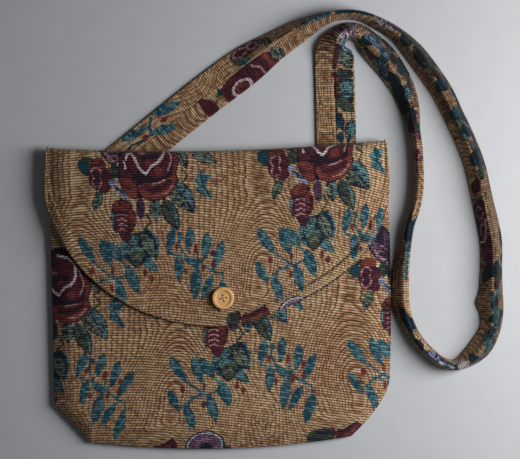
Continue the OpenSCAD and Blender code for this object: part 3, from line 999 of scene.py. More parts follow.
class HaversackBuildStage(bpy.types.Operator):
    """Makes the camera, the floor and the soft light."""

    bl_idname = "haversack.build_stage"
    bl_label = "Stage"

    def execute(self, context):
        stage = settings().stage
        lens = bpy.data.cameras.new("overhead_camera")
        lens.sensor_width = SENSOR
        lens.lens = SENSOR * stage.height / stage.view_width
        camera = bpy.data.objects.new("overhead_camera", lens)
        camera.location = (stage.aim_x, stage.aim_y, stage.height)
        camera.rotation_euler = (0, 0, stage.turn)
        context.scene.collection.objects.link(camera)
        context.scene.camera = camera
        corners = [(x * FLOOR_HALF, y * FLOOR_HALF, 0) for x, y in ((-1, -1), (1, -1), (1, 1), (-1, 1))]
        new_piece("floor", corners, [(0, 1, 2, 3)], floor_finish())
        lamp = bpy.data.lights.new("key_light", "AREA")
        lamp.shape = "RECTANGLE"
        lamp.size, lamp.size_y = KEY_SIZE
        lamp.energy = stage.key
        key = bpy.data.objects.new("key_light", lamp)
        key.location = KEY_PLACE
        key.rotation_euler = (Vector(KEY_AIM) - Vector(KEY_PLACE)).to_track_quat("-Z", "Y").to_euler()
        context.scene.collection.objects.link(key)
        world = bpy.data.worlds.new("even_light")
        world.use_nodes = True
        even = world.node_tree.nodes["Background"]
        even.inputs["Color"].default_value = FILL_TINT
        even.inputs["Strength"].default_value = stage.fill
        context.scene.world = world
        context.scene.view_settings.view_transform = "Standard"
        return {"FINISHED"}


# Strap: place of the centre seam in metres, then the droop of its left and right half in degrees

STRAP_ROUTE = (
    (-.110, .107, 0, 0), (-.071, .137, 0, 0), (-.040, .161, 0, 0), (-.011, .183, 0, 0),
    (.017, .203, 5, 5), (.050, .225, 45, 45), (.079, .242, 62, 62), (.099, .251, 80, 80),
    (.116, .255, 86, 86), (.133, .254, 86, 86), (.149, .248, 80, 80), (.168, .236, 76, 76),
    (.185, .217, 66, 68), (.206, .186, 64, 68), (.218, .161, 66, 70), (.229, .136, 66, 70),
    (.237, .113, 66, 68), (.243, .083, 66, 68), (.248, .058, 64, 66), (.250, .042, 64, 66),
    (.250, .021, 66, 66), (.249, .000, 62, 62), (.249, -.011, 60, 50), (.249, -.022, 62, 62),
    (.247, -.036, 66, 68), (.239, -.051, 64, 64), (.228, -.062, 74, 70), (.216, -.068, 84, 82),
    (.204, -.066, 84, 84), (.192, -.057, 84, 84), (.180, -.043, 80, 84), (.172, -.025, 68, 85),
    (.169, -.009, 60, 85), (.169, .009, 60, 85), (.170, .025, 66, 85), (.172, .043, 78, 85),
    (.175, .060, 85, 85), (.181, .077, 85, 85), (.184, .093, 84, 84), (.185, .113, 85, 85),
    (.184, .134, 85, 85), (.182, .149, 82, 82), (.178, .168, 70, 68), (.172, .187, 62, 60),
    (.163, .204, 54, 56), (.152, .219, 50, 54), (.141, .231, 56, 64), (.132, .237, 74, 64),
    (.122, .238, 80, 64), (.114, .232, 74, 52), (.111, .224, 34, 22), (.110, .213, 6, 4),
    (.110, .178, 0, 0), (.110, .138, 0, 0), (.110, .112, 0, 0))
# Section of the strap: its ridge, sunk seam and rounded edge
CURVE_STEPS = 40
MOST_DROOP = 88
LEAST_ROOT = 0.0004
RIDGE_RUN = 0.004
SEAM_DENT = 0.0009
SEAM_HALF = 0.0009
SEAM_SHARES = (0, 0.5, 1, 1.5)
EDGE_SHARES = (0.3, 0.6, 0.82, 0.94, 1.0)
UNDER_STEP = 4
# Cloth of the strap: grain of its halves, painted light and shade along each of them, and small leaves
# strewn over it
STRAP_GRAIN = (20, -75)
STRAP_GRAIN_START = -19
LEFT_PAINTED_SHADING = (
    (0, 1), (230, 0.95), (300, 0.36), (650, 0.36), (690, 1.1), (900, 0.9), (930, 0.7), (1030, 0.9),
    (1160, 0.9))
RIGHT_PAINTED_SHADING = (
    (0, 0.95), (230, 0.8), (300, 1), (660, 1), (700, 0.45), (1000, 0.5), (1040, 0.8), (1160, 0.9))
SHADING_SWITCH = (-2, 10)
BIT_DYES = (
    ("ink", "teal"), ("pine", "moss"), ("plum", "wine"), ("teal", "sea"), ("ink", "pine"),
    ("moss", "sage"))
BIT_HALF = 7
BIT_WIDTH = 7
BIT_LEAN = 10
END_LINES = 6
END_LINE_STEP = 2.7
FAR_OFF = 1e6


def strap_line(step):
    """Route points a step apart: distance along, place, direction, and droops as angles."""
    guides = np.array(STRAP_ROUTE)
    ends = np.vstack([2 * guides[0] - guides[1], guides, 2 * guides[-1] - guides[-2]])
    curve = spline(ends, CURVE_STEPS)
    run = np.concatenate([[0], np.cumsum(np.hypot(*np.diff(curve[:, :2], axis=0).T))])
    along = np.arange(0, run[-1], step)
    place = np.stack([np.interp(along, run, curve[:, k]) for k in range(4)], axis=1)
    ahead = np.gradient(place[:, :2], axis=0)
    ahead = ahead / np.linalg.norm(ahead, axis=1)[:, None]
    return along, place[:, :2], ahead, np.radians(np.clip(place[:, 2:], 0, MOST_DROOP))


def strap_half(across, droop):
    """Outer and inner face of one half: sideways and up from the seam, for each route point and width."""
    strap = settings().strap
    h = strap.thickness / 2
    w = across[None, :]
    d = droop[:, None]
    edge = np.clip((w - (strap.width / 2 - h)) / h, 0, 1)
    thick = h * np.sqrt(1 - edge ** 2)
    root = np.maximum(h * np.sin(d), LEAST_ROOT)
    middle_side, middle_up = root + w * np.cos(d), -w * np.sin(d)
    t = np.clip(w / RIDGE_RUN, 0, 1)
    knee = root + h * np.sin(d) - h * np.tan(d / 2) * np.cos(d)
    end_side = root + RIDGE_RUN * np.cos(d) + h * np.sin(d)
    end_up = h * np.cos(d) - RIDGE_RUN * np.sin(d)
    near = w < RIDGE_RUN
    outer_side = np.where(near, 2 * t * (1 - t) * knee + t * t * end_side, middle_side + thick * np.sin(d))
    outer_up = np.where(near, (1 - t * t) * h + t * t * end_up, middle_up + thick * np.cos(d))
    outer_up = outer_up - SEAM_DENT * np.exp(-(w / SEAM_HALF) ** 2)
    return outer_side, outer_up, middle_side - thick * np.sin(d), middle_up - thick * np.cos(d)


def strap_widths(step):
    """Places across one half of the strap, closer together at its seam and its edge."""
    half, round_edge = settings().strap.width / 2, settings().strap.thickness / 2
    inner = np.arange(2 * SEAM_HALF, half - round_edge, step)
    seam = SEAM_HALF * np.array(SEAM_SHARES)
    edge = half - round_edge * (1 - np.array(EDGE_SHARES))
    return np.concatenate([seam, inner, edge])


def strap_rings(droop, crest):
    """Rings round the strap: sideways and up from the seam, flat width, and whether it is underneath."""
    weave = settings().weave
    across = strap_widths(weave.warp)
    ribs = (weave.rib_height * (crest - 1))[:, None] * ease(across / (4 * SEAM_HALF))[None, :]
    tops, unders = [], []
    under = slice(-1, None, -UNDER_STEP)
    for k, side in ((0, -1), (1, 1)):
        outer_side, outer_up, inner_side, inner_up = strap_half(across, droop[:, k])
        outer_side = side * (outer_side + ribs * np.sin(droop[:, k])[:, None])
        outer_up = outer_up + ribs * np.cos(droop[:, k])[:, None]
        flat = np.tile(side * across, (len(droop), 1))
        tops.append((outer_side, outer_up, flat))
        unders.append((side * inner_side[:, under], inner_up[:, under], flat[:, under]))
    rings = [np.hstack([tops[0][n][:, ::-1], tops[1][n][:, 1:], unders[1][n], unders[0][n][:, ::-1]])
             for n in range(3)]
    below = np.arange(rings[0].shape[1]) >= 2 * len(across) - 1
    return (*rings, below)


def strap_start_flowers(cloth):
    """Spray, bud and rose on the straight start of the strap, in millimetres across and along it."""
    cloth.stroke(((-12, 22), (-6, 27), (-1, 34)), 4, "ink", "teal", 0.6)
    cloth.stroke(((-4, 30), (-6, 46), (-3, 58)), 2, "pine", "teal", 0.6)
    cloth.leaf(-16, 41, -10, 65, 9, "teal", "sea", 0.3, 0.2)
    cloth.stroke(((-14, 64), (-8, 68), (-3, 67)), 3.4, "teal", "sea", 0.25)
    cloth.stroke(((-15, 75), (-9, 70), (-5, 66)), 2.6, "teal", "sea", 0.25)
    cloth.leaf(-16, 78, -9, 106, 10, "teal", "sea", 0.3, 0.2)
    cloth.leaf(-3, 68, 5, 90, 9, "teal", "sea", 0.3, 0.2)
    cloth.oval(-6, 84, 2.2, 4, "wine", "rust", 0.5)
    cloth.oval(-4, 60, 2, 3, "wine", "rust", 0.5)
    cloth.oval(-12, 181, 7, 16, "plum", "wine", 0.7)
    cloth.oval(-12, 175, 5, 8, "wine", "blush", 0.5, 0, 0.62)
    cloth.oval(-12, 188, 5, 6, "wine", "blush", 0.45, 0, 0.6)
    cloth.leaf(-11, 165, -2, 172, 6, "pine", "moss", 0.6)
    cloth.oval(-3, 175, 2.4, 5, "teal", "sea", 0.3)
    cloth.leaf(-15, 196, -2, 204, 9, "ink", "sage", 0.4)
    cloth.patch(((1, 118), (17, 118), (17, 130), (9, 129), (2, 124)), "plum", "wine", 0.7)
    cloth.stroke(((3, 129), (10, 134), (16, 133)), 3, "moss", "cream", 0.4)
    cloth.oval(6, 140, 3, 4, "pine", "teal", 0.6)
    cloth.patch(((4, 143), (1, 160), (1, 194), (9, 199), (19, 197), (19, 145), (11, 141)),
                "plum", "wine", 0.65)
    cloth.oval(14, 159, 7, 11, "blush", "snow", 0.6, 0, 0.72)
    cloth.oval(14, 159, 4.4, 7, "plum", "rust", 0.45)
    cloth.stroke(((3, 177), (8, 183), (15, 184)), 1.9, "wine", "blush", 0.75)
    cloth.stroke(((2, 192), (17, 195)), 4, "wine", "rust", 0.7)
    cloth.leaf(1, 200, 17, 208, 12, "ink", "sage", 0.3)


def strap_bits(cloth, start, stop, count, low, high):
    """Strews small leaves and petals over a stretch of the strap, between two places across it."""
    for k in range(count):
        row = mix(start, stop, (k + 0.5) / count)
        column = mix(low, high, scatter(k, start))
        lean = BIT_LEAN / 2 * (scatter(k, stop) - 0.5)
        dark, light = BIT_DYES[k % len(BIT_DYES)]
        cloth.leaf(column - lean, row - BIT_HALF, column + lean, row + BIT_HALF, BIT_WIDTH,
                   dark, light, 0.45)


def strap_loop_flowers(cloth):
    """Dark flowers and leaves round the loop of the strap, most of them on its outer half."""
    cloth.stroke(((-2, 236), (-1.5, 262)), 4, "teal", "sea", 0.35)
    cloth.stroke(((-1, 268), (-2, 300)), 3.4, "pine", "teal", 0.6)
    cloth.stroke(((-12, 248), (-5, 252)), 4, "plum", "wine", 0.7)
    cloth.oval(-7, 316, 10, 17, "violet", "snow", 0.3)
    cloth.stroke(((-14, 306), (-6, 312), (-2, 330)), 1.8, "ink", "plum")
    for row, high, turn, dark, light in (
            (338, 8, 12, "ink", "teal"), (359, 14, -6, "ink", "moss"), (389, 7, 24, "pine", "teal"),
            (421, 7, -20, "pine", "teal"), (439, 5, 10, "teal", "sea"), (463, 8, 30, "pine", "teal"),
            (568, 7, -14, "pine", "teal"), (609, 5, 22, "pine", "teal"), (632, 7, -18, "teal", "sea"),
            (652, 5, 12, "pine", "teal")):
        cloth.oval(-5, row, 10, high, dark, light, 0.5, turn)
    strap_bits(cloth, 332, 480, 26, -14, 2)
    strap_bits(cloth, 560, 660, 12, -14, 0)
    strap_bits(cloth, 665, 745, 8, -5, 2)
    cloth.oval(-12, 352, 3, 5, "wine", "rust", 0.5)
    for row, high in ((430, 4), (538, 8), (556, 5), (644, 3)):
        cloth.oval(-14, row, 5, high, "plum", "wine", 0.7)
    cloth.stroke(((1, 588), (-1, 606), (-2, 626)), 3.4, "teal", "sea", 0.2)
    cloth.oval(-5, 664, 13, 5, "lilac", "snow", 0.6)
    cloth.stroke(((-10, 668), (-2, 670), (2, 690)), 3, "ink", "violet")
    cloth.stroke(((-1, 673), (-1, 688)), 2.6, "teal", "snow", 0.4)
    cloth.oval(0, 694, 3, 6, "ink", "sky", 0.4)
    cloth.patch(((1, 483), (2, 492), (9, 497), (15, 492), (10, 484)), "plum", "wine", 0.7)
    cloth.stroke(((2, 499), (8, 501), (16, 500)), 3, "moss", "sage", 0.4)
    cloth.patch(((1, 503), (2, 520), (1, 562), (10, 560), (17, 540), (18, 510), (10, 502)),
                "plum", "wine", 0.75)
    cloth.oval(9, 513, 6, 7, "wine", "blush", 0.4, 0, 0.6)
    cloth.oval(8, 530, 6, 8, "wine", "blush", 0.45, 0, 0.6)
    cloth.stroke(((3, 520), (4, 528), (9, 540), (16, 541)), 2, "blush", "snow", 0.4)
    cloth.stroke(((3, 549), (14, 553)), 4, "wine", "rust", 0.7)
    cloth.leaf(1, 561, 13, 579, 13, "ink", "pine", 0.6)
    cloth.leaf(-1, 722, -6, 748, 8, "ink", "teal", 0.4)
    cloth.stroke(((0, 772), (0, 806)), 2.4, "teal", "sea", 0.3)
    cloth.leaf(-1, 804, -6, 838, 8, "ink", "teal", 0.4)
    cloth.leaf(2, 804, 6, 838, 9, "pine", "teal", 0.5)
    cloth.oval(-2, 885, 4, 6, "wine", "blush", 0.5)
    cloth.oval(4, 912, 10, 14, "wine", "blush", 0.35)
    cloth.oval(-6, 916, 8, 10, "ink", "wine", 0.6)


def strap_end_flowers(cloth):
    """Leaves, the violet band and the seam flowers on the last part of the strap."""
    strap_bits(cloth, 905, 1010, 26, -16, 2)
    strap_bits(cloth, 945, 1010, 9, 4, 16)
    cloth.oval(-8, 932, 8, 8, "ink", "pine", 0.5)
    cloth.leaf(-15, 938, -3, 961, 12, "pine", "teal", 0.5)
    cloth.leaf(-2, 958, -16, 972, 11, "ink", "teal", 0.7)
    cloth.leaf(-13, 963, -1, 986, 10, "teal", "sky", 0.2)
    cloth.oval(-9, 990, 4, 7, "plum", "wine", 0.7)
    cloth.leaf(-16, 976, -8, 988, 6, "moss", "sage", 0.4)
    cloth.stroke(((-1, 980), (2, 990), (1, 1006)), 5, "teal", "sky", 0.2)
    cloth.leaf(2, 959, 17, 975, 12, "pine", "teal", 0.6)
    cloth.stroke(((4, 982), (16, 984)), 4, "teal", "sky", 0.2)
    cloth.stroke(((4, 997), (16, 1001)), 6, "teal", "sky", 0.2)
    cloth.patch(((-18, 1015), (0, 1018), (18, 1017), (18, 1031), (0, 1033), (-18, 1029)),
                "violet", "snow", 0.35)
    cloth.stroke(((-16, 1022), (16, 1025)), 1.8, "ink", "violet", 0.6)
    for k in range(END_LINES):
        wavy = [(3 + END_LINE_STEP * k + 1.2 * math.sin(row / 17 + 0.3 * k), row)
                for row in range(1034, 1160, 9)]
        cloth.stroke(wavy, 0.8, "bark", "tan", 0.5)
    for row, high in ((1048, 10), (1068, 6), (1088, 9)):
        cloth.oval(-8, row, 9, high, "ink", "moss", 0.3, 20)
    cloth.leaf(-2, 1031, -17, 1044, 15, "ink", "sea", 0.4)
    cloth.stroke(((-3, 1046), (-15, 1047)), 4, "ink", "pine", 0.4)
    cloth.leaf(-2, 1044, -16, 1061, 13, "ink", "sage", 0.35)
    cloth.stroke(((-4, 1062), (-14, 1069)), 2, "pine", "moss")
    cloth.oval(-5, 1064, 2.2, 4, "ink", "moss", 0.4)
    cloth.leaf(-1, 1091, -16, 1071, 16, "ink", "sea", 0.42)
    cloth.leaf(-2, 1088, -17, 1101, 12, "ink", "moss", 0.6)
    cloth.leaf(-16, 1107, -10, 1129, 11, "ink", "sea", 0.4)
    cloth.stroke(((-0.5, 1042), (-1, 1050), (0, 1059)), 5.2, "plum", "rust", 0.2)
    cloth.stroke(((0, 1066), (-1, 1074), (-0.5, 1086)), 5.2, "plum", "rust", 0.2)
    cloth.stroke(((-1, 1088), (-1, 1100)), 4, "pine", "moss", 0.5)
    cloth.leaf(-1, 1100, -6, 1118, 8, "ink", "teal", 0.5)
    cloth.oval(-4, 1124, 3, 5, "ink", "teal", 0.5)


def strap_colours_with_light(w, s, below):
    """Threads of the strap: a band of the cloth, its long edges folded to the seam in the middle, with
    painted light and shade along each half.
    """
    across, along = w / MM, s / MM
    grain = across + np.where(across < 0, *STRAP_GRAIN)
    cloth = Drawing(grain, along + STRAP_GRAIN_START, np.floor(s / settings().weave.strap_rib))
    cloth.ground()
    cloth.c, cloth.r = np.where(below, FAR_OFF, across), along
    strap_start_flowers(cloth)
    strap_loop_flowers(cloth)
    strap_end_flowers(cloth)
    # Painted light and shade: each half is darkened or lightened along the strap, blending across the seam
    right = ease((across - SHADING_SWITCH[0]) / SHADING_SWITCH[1])
    cloth.thread *= mix(line_of(LEFT_PAINTED_SHADING)(along), line_of(RIGHT_PAINTED_SHADING)(along), right)[:, None]
    return cloth.thread, cloth.furrow


class HaversackBuildStrap(bpy.types.Operator):
    """Makes the cloth strap, folded to its centre seam."""

    bl_idname = "haversack.build_strap"
    bl_label = "Strap"

    def execute(self, context):
        strap = settings().strap
        along, place, ahead, droop = strap_line(settings().weave.strap_rib / 2)
        ridge = np.max(strap.width / 2 * np.sin(droop) + strap.thickness / 2 * np.cos(droop), axis=1)
        crest = np.arange(len(along)) % 2
        side, up, flat, below = strap_rings(droop, crest)
        right_way = np.stack([ahead[:, 1], -ahead[:, 0]], axis=1)
        points = np.dstack([place[:, None, :] + side[:, :, None] * right_way[:, None, :],
                            np.maximum(ridge[:, None] + up, 0)])
        rings, count = side.shape
        k, j = np.meshgrid(np.arange(rings - 1), np.arange(count), indexing="ij")
        a, b = (k * count + j).ravel(), (k * count + (j + 1) % count).ravel()
        quads = np.stack([a + count, b + count, b, a], axis=1)
        ends = [np.arange(count).tolist(), ((rings - 1) * count + np.arange(count))[::-1].tolist()]
        piece = new_piece("shoulder_strap", points.reshape(-1, 3), quads.tolist() + ends,
                          tapestry_finish("strap_tapestry"))
        flat_s = np.repeat(along, count)
        thread, furrow = strap_colours_with_light(flat.ravel()[quads].mean(axis=1), flat_s[quads].mean(axis=1),
                                       np.tile(below, rings)[quads].all(axis=1))
        # Painted shade: colours fade to the furrow shade on furrow rings
        shade = np.repeat(crest, count).astype(float)[quads][:, :, None]
        colours = (thread[:, None, :] * mix(furrow[:, None, :], 1.0, shade)).reshape(-1, 3)
        colours = np.vstack([colours, np.tile(thread.mean(axis=0), (2 * count, 1))])
        corners = np.concatenate([quads.ravel(), *ends])
        set_weave(piece, colours, np.stack([flat.ravel(), flat_s], axis=1)[corners])
        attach(piece, BODY)
        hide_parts("shoulder_strap")
        return {"FINISHED"}


# Bag

# Heart of a rose on each cloth in metres, and the step from it to the second posy in squares
FRONT_ROSE = (-0.1453, 0.0064)
FLAP_ROSE = (-0.0622, 0.1152)
BACK_ROSE = (0.020, 0.030)
FRONT_SECOND = (98, 193)
FLAP_SECOND = (103, 188)
# How far the pattern and the ribs rise, shift and slip sideways over x
FRONT_LEAN = (
    (-.1453, 0), (-.109, -.0053), (-.079, -.0070), (-.0427, -.0005), (.018, .0049), (.0835, .0058),
    (.120, .0110), (.138, .0146))
FRONT_SWAY = ((-.1453, 0), (.018, .0032), (.184, .0043))
FRONT_SLIP = (
    (-.150, .2), (-.085, .2), (-.055, 0), (.015, 0), (.065, .08), (.083, .06), (.0985, -.1),
    (.135, -.1))
SLIP_TOP = -0.052
FRONT_RIBS = (
    (-.155, -.002), (-.110, 0), (-.070, -.0012), (-.020, -.0057), (.040, -.0141), (.155, -.0325))
FLAP_LEAN = (
    (-.153, .0019), (-.0165, -.0011), (.036, .0052), (.083, .0120), (.0995, .0135), (.1215, .0138),
    (.135, .0165), (.150, .0195))
FLAP_SWAY = ((-.153, 0), (-.020, 0), (.053, .0018), (.100, -.0005), (.150, -.0028))
FLAP_RIBS = (
    (-.155, -.0045), (-.090, -.0005), (-.050, 0), (0, -.006), (.050, -.015), (.100, -.027),
    (.155, -.043))
# Edges rolled over: steps away from the outline and outwards from the face
FRONT_ROLL = (
    (.0003, -.0005), (.0005, -.0012), (.0003, -.0020), (-.0006, -.0028), (-.0020, -.0034))
BACK_ROLL = ((.0003, .0005), (.0005, .0012), (.0002, .0018), (-.0008, .0022))
FLAP_ROLL = ((.0004, -.0004), (.0006, -.0010), (.0004, -.0016), (-.0004, -.0019), (-.0040, -.0019))
# Turned hem of the flap, with painted shade in its crease, a painted highlight along its edge and a painted
# shadow line at its lip, and the middle and half length of its puckered stretch
HEM_WIDTH = 0.0095
HEM_STEP = 0.0012
HEM_RISE = 0.0011
HEM_DENT = 0.0009
HEM_GROOVE = 0.0010
HEM_SHADE = 0.75
HEM_EDGE = 0.0011
HEM_PAINTED_HIGHLIGHT = 0.6
HEM_LIP_SHADOW = 0.85
CREASE_SPAN = (0.100, 0.045)
CREASE_LEAST = 0.12
# Cells of the hidden cloths, and the room round all of them
BACK_COARSE = 1.4
LINING_STEP = 0.004
LINING_INSET = 0.0015
SPAN_MARGIN = 0.070


def panel_inside(top_drop, inset=0.0):
    """Distance inside the outline of a panel whose upper edge lies top_drop under the fold."""
    def inside(x, y):
        across = side_edge(x, y) - np.abs(x)
        return np.minimum(np.minimum(across, y - bottom_edge(x)), top_edge(x) - top_drop - y) - inset
    return inside


def flap_inside(inset=0.0):
    """Distance inside the outline of the flap, on its flat cloth."""
    def inside(x, y):
        across = flap_half(y) - np.abs(x)
        return np.minimum(np.minimum(across, y - hem_edge(x, y)), flap_end(x) - y) - inset
    return inside


def pouch_place(height):
    """Puts flat points of a panel on its height over the bag."""
    def place(x, y, out):
        return np.stack([x, y, height(x, y) + out], axis=-1)
    return place


def flap_place(x, y, out):
    """Puts flat points of the flap on the front, round the fold and behind it."""
    flap = settings().flap
    start, run = fold_start(x), fold_run(x)
    low, high = fold_levels(x)
    past = np.clip((y - start) / run, 0, 1)
    phi = np.pi * (1 - past)
    fold_y = start + (flap.fold + out) * np.sin(phi)
    fold_z = mix(low, high, (1 - np.cos(phi)) / 2) - out * np.cos(phi)
    tuck_y = start - np.maximum(0, y - start - run)
    tuck_z = back_height(x, tuck_y) + flap_stack() - out
    front_z = flap_height(x, np.minimum(y, start)) + out
    on_front, behind = y <= start, y >= start + run
    place_y = np.where(on_front, y, np.where(behind, tuck_y, fold_y))
    place_z = np.where(on_front, front_z, np.where(behind, tuck_z, fold_z))
    return np.stack([x, place_y, place_z], axis=-1)


def hem_distance(x, y):
    """Distance of flat points of the flap from its rounded hem."""
    def above(at_x, at_y):
        return at_y - hem_edge(at_x, at_y)
    return above(x, y) / np.maximum(1, np.hypot(*slope(above, x, y)))


def drawn_up_share(x):
    """Share of the puckering that the hem shows over x: all of it where its right half is drawn up."""
    return mix(CREASE_LEAST, 1, hump((x - CREASE_SPAN[0]) / CREASE_SPAN[1]))


def hem_groove(x, y):
    """Crease along the inside of the hem, from 0 to 1."""
    return drawn_up_share(x) * np.exp(-((hem_distance(x, y) - HEM_WIDTH) / HEM_GROOVE) ** 2)


def hemmed_place(x, y, out):
    """Puts flat points of the flap's cloth in place, with its hem turned in and so thicker."""
    rise = HEM_RISE * (1 - ease((hem_distance(x, y) - HEM_WIDTH) / HEM_STEP))
    return flap_place(x, y, out + rise - HEM_DENT * hem_groove(x, y))


def posy_threads(rose, second, lean=np.zeros_like, sway=np.zeros_like, ribs=np.zeros_like,
                 slip=np.zeros_like, facing=1):
    """Function that gives the threads of a panel whose rose lies at a place; facing is -1 seen from below.

    second is the step to the second kind of posy, in squares; lean and sway say how far the pattern
    rises and shifts over x, ribs how far the ribs rise, and slip how the low part leans sideways.
    """
    square = settings().weave.square
    foot = bag_span()[0][1]

    def threads(x, y):
        line = np.floor((y - ribs(x) - foot) / settings().weave.rib)
        shift = slip(x) * np.maximum(SLIP_TOP - y, 0) - sway(x)
        columns = facing * (x - rose[0] + shift) / square
        cloth = tapestry(columns, (rose[1] - y + lean(x)) / square, line, second)
        return cloth.thread, cloth.furrow
    return threads


def weave_step():
    """Size of a mesh cell: one warp across, half a rib along."""
    return settings().weave.warp, settings().weave.rib / 2


def mouth_drop():
    """Distance of the mouth from the fold."""
    return settings().flap.fold + flap_stack() + MOUTH_CLEAR


def bag_span():
    """Corners of the flat area that the panels lie in."""
    aside = half_width() + 2 * settings().bag.side_bow
    along = half_length() + SPAN_MARGIN
    return (-aside, -along), (aside, along + settings().flap.tuck)


def dress(piece, node_name, cells, held):
    """Ties a cloth piece to the frame and hides the part that it stands for."""
    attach(piece, BODY)
    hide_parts(node_name)
    flat = (float(np.ptp(cells.x)), float(np.ptp(cells.y)))
    min(cells.area, flat[0] * flat[1])


class HaversackBuildBack(bpy.types.Operator):
    """Makes the outer cloth of the back."""

    bl_idname = "haversack.build_back"
    bl_label = "Back"

    def execute(self, context):
        warp, row = weave_step()
        cells = Cells(panel_inside(settings().flap.tuck), *bag_span(), (BACK_COARSE * warp, row))
        threads = posy_threads(BACK_ROSE, FLAP_SECOND, facing=-1)
        piece = tapestry_piece("back_panel", cells, pouch_place(back_height), 0.0, BACK_ROLL, threads,
                               tapestry_finish("back_tapestry"), under=True)
        dress(piece, "back_panel", cells, "laid")
        return {"FINISHED"}


class HaversackBuildFront(bpy.types.Operator):
    """Makes the outer cloth of the front."""

    bl_idname = "haversack.build_front"
    bl_label = "Front"

    def execute(self, context):
        ribs = line_of(FRONT_RIBS)
        cells = Cells(panel_inside(mouth_drop()), *bag_span(), weave_step(), ribs)
        threads = posy_threads(FRONT_ROSE, FRONT_SECOND, line_of(FRONT_LEAN), line_of(FRONT_SWAY), ribs,
                               line_of(FRONT_SLIP))
        piece = tapestry_piece("front_panel", cells, pouch_place(front_height), settings().bag.cloth,
                               FRONT_ROLL, threads, tapestry_finish("front_tapestry"))
        dress(piece, "front_panel", cells, "stretched")
        return {"FINISHED"}


class HaversackBuildFlap(bpy.types.Operator):
    """Makes the outer cloth of the flap, from its seam behind the fold to its rounded hem."""

    bl_idname = "haversack.build_flap"
    bl_label = "Flap"

    def execute(self, context):
        ribs = line_of(FLAP_RIBS)
        cells = Cells(flap_inside(), *bag_span(), weave_step(), ribs)
        plain = posy_threads(FLAP_ROSE, FLAP_SECOND, line_of(FLAP_LEAN), line_of(FLAP_SWAY), ribs)
        cream = screen_to_light(settings().dyes.cream)

        def threads(x, y):
            thread, furrow = plain(x, y)
            # Painted highlight along the hem's edge, painted shadow line at its lip and painted shade in
            # its crease, strongest where the right half is drawn up
            drawn = drawn_up_share(x)
            edge = drawn * HEM_PAINTED_HIGHLIGHT * np.exp(-((hem_distance(x, y) - 2 * HEM_EDGE) / HEM_EDGE) ** 2)
            lip_shadow = drawn * HEM_LIP_SHADOW * (hem_distance(x, y) < HEM_EDGE)
            shade = (1 - lip_shadow) * (1 - HEM_SHADE * hem_groove(x, y))
            return mix(thread, cream, edge[:, None]) * shade[:, None], furrow
        piece = tapestry_piece("flap", cells, hemmed_place, flap_stack(), FLAP_ROLL, threads,
                               tapestry_finish("flap_tapestry"))
        dress(piece, "flap", cells, "folded")
        return {"FINISHED"}


def lining_piece(name, cells, place, out):
    """Plain lining sheet with its thickness."""
    points = place(cells.x, cells.y, np.full(len(cells.x), out))
    piece = new_piece(name, points, cells.quads, cotton_finish(name + "_cotton"))
    shell = piece.modifiers.new("thickness", "SOLIDIFY")
    shell.thickness = settings().bag.lining
    shell.offset = 0
    return piece


class HaversackBuildLinings(bpy.types.Operator):
    """Makes the lining of the pouch and of the flap."""

    bl_idname = "haversack.build_linings"
    bl_label = "Linings"

    def execute(self, context):
        bag = settings().bag
        over_back = bag.cloth + bag.layer_gap + bag.lining / 2
        under_front = -bag.layer_gap - bag.lining / 2
        back = panel_inside(settings().flap.tuck, LINING_INSET)
        front = panel_inside(mouth_drop(), LINING_INSET)
        flap = flap_inside(LINING_INSET)
        for name, inside, place, out, held, under in (
                ("lining_back", back, pouch_place(back_height), over_back, "laid", "back_panel"),
                ("lining_front", front, pouch_place(front_height), under_front, "stretched", "front_panel"),
                ("flap_lining", flap, flap_place, bag.lining / 2, "folded", "front_panel")):
            cells = Cells(inside, *bag_span(), (LINING_STEP, LINING_STEP))
            piece = lining_piece(name, cells, place, out)
            dress(piece, name, cells, held)
        return {"FINISHED"}


# Button and its thread

STRAND = 0.00014
STRAND_GAP = 0.00015
STRAND_SIDES = 8
STRAND_STEPS = 8
STRAND_CROSSING = 1.6
SIDE_HINT = (0.31, 0.87, 0.38)
HOLE_OUT = 0.0023
DISH = 0.0010
CROSS_TURN = math.radians(11)
WINDINGS = 5
WINDING_STEPS = 24
SHANK_RADIUS = 0.0012


def tube(path, radius):
    """Points and faces of a round strand along a path."""
    ahead = np.gradient(path, axis=0)
    ahead = ahead / np.linalg.norm(ahead, axis=1)[:, None]
    side = np.cross(ahead, SIDE_HINT)
    side = side / np.linalg.norm(side, axis=1)[:, None]
    turn = (np.arange(STRAND_SIDES) * 2 * math.pi / STRAND_SIDES)[None, :, None]
    ring = np.cos(turn) * side[:, None, :] + np.sin(turn) * np.cross(ahead, side)[:, None, :]
    k, j = np.meshgrid(np.arange(len(path) - 1), np.arange(STRAND_SIDES), indexing="ij")
    a, b = (k * STRAND_SIDES + j).ravel(), (k * STRAND_SIDES + (j + 1) % STRAND_SIDES).ravel()
    faces = np.stack([a, b, b + STRAND_SIDES, a + STRAND_SIDES], axis=1)
    return (path[:, None, :] + radius * ring).reshape(-1, 3), faces


def button_strands(middle, top, low):
    """Paths of the doubled strands: up one hole, over the dish, down the hole across from it."""
    dish = top - DISH + STRAND
    for k in range(2):
        turn = CROSS_TURN + k * math.pi / 2
        along = np.array([math.cos(turn), math.sin(turn), 0])
        aside = np.array([-math.sin(turn), math.cos(turn), 0])
        over = dish + k * STRAND_CROSSING * STRAND
        rise = ((0.3, low - STRAND), (1, low + STRAND), (1, dish - 2 * STRAND), (0.7, over))
        profile = [(-out, up) for out, up in rise] + [*reversed(rise)]
        for side in (-1, 1):
            lane = np.array([*middle, 0]) + side * STRAND_GAP * aside
            guides = np.array([lane + out * HOLE_OUT * along + (0, 0, up) for out, up in profile])
            yield spline(np.vstack([guides[:1], guides, guides[-1:]]), STRAND_STEPS)


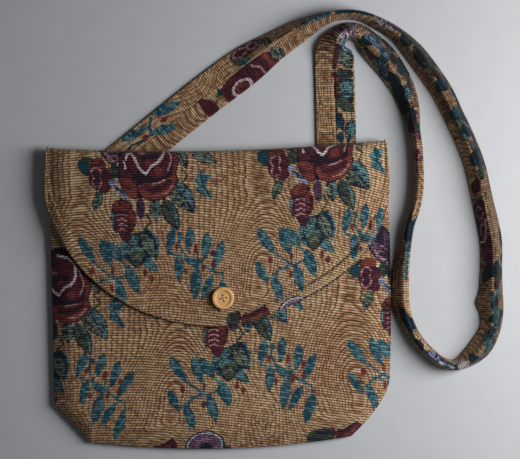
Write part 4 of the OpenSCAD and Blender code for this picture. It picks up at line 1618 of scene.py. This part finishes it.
class HaversackBuildButton(bpy.types.Operator):
    """Finishes the turned wooden button and winds the thread that holds it."""

    bl_idname = "haversack.build_button"
    bl_label = "Button and thread"

    def execute(self, context):
        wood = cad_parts["button"].data
        wood.materials.clear()
        wood.materials.append(wood_finish())
        low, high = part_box("button")
        middle = ((low[0] + high[0]) / 2, (low[1] + high[1]) / 2)
        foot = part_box("button_thread")[0][2]
        turn = np.linspace(0, 2 * math.pi * WINDINGS, WINDING_STEPS * WINDINGS)
        winding = np.column_stack([middle[0] + SHANK_RADIUS * np.cos(turn),
                                   middle[1] + SHANK_RADIUS * np.sin(turn),
                                   np.linspace(foot + STRAND, low[2] - STRAND, len(turn))])
        points, faces, count = [], [], 0
        for path in (*button_strands(middle, high[2], low[2]), winding):
            ring, quads = tube(path, STRAND)
            points.append(ring)
            faces.append(quads + count)
            count += len(ring)
        piece = new_piece("button_thread", np.concatenate(points), np.concatenate(faces), thread_finish())
        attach(piece, BODY)
        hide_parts("button_thread")
        return {"FINISHED"}


BUILDERS = (HaversackBuildStage, HaversackBuildStrap, HaversackBuildBack, HaversackBuildFront,
            HaversackBuildLinings, HaversackBuildFlap, HaversackBuildButton)


class HaversackPanel(bpy.types.Panel):
    """Lists the steps of the haversack in the sidebar."""

    bl_idname = "VIEW3D_PT_haversack"
    bl_label = "Haversack"
    bl_space_type = "VIEW_3D"
    bl_region_type = "UI"
    bl_category = "Haversack"

    def draw(self, context):
        for builder in BUILDERS:
            self.layout.operator(builder.bl_idname)


CLASSES = (HaversackBag, HaversackFlap, HaversackStrap, HaversackWeave, HaversackDyes, HaversackStage,
           HaversackSettings, *BUILDERS, HaversackPanel)


def register():
    """Makes the settings, the steps and the panel known."""
    for made in CLASSES:
        bpy.utils.register_class(made)
    bpy.types.Scene.haversack = PointerProperty(
        name="Haversack", description="Settings of the haversack", type=HaversackSettings)


def unregister():
    """Takes the settings, the steps and the panel away again."""
    del bpy.types.Scene.haversack
    for made in reversed(CLASSES):
        bpy.utils.unregister_class(made)


def main():
    """Builds the haversack step by step."""
    register()
    bpy.ops.haversack.build_stage()
    bpy.ops.haversack.build_strap()
    bpy.ops.haversack.build_back()
    bpy.ops.haversack.build_front()
    bpy.ops.haversack.build_linings()
    bpy.ops.haversack.build_flap()
    bpy.ops.haversack.build_button()


if __name__ == "__main__":
    main()
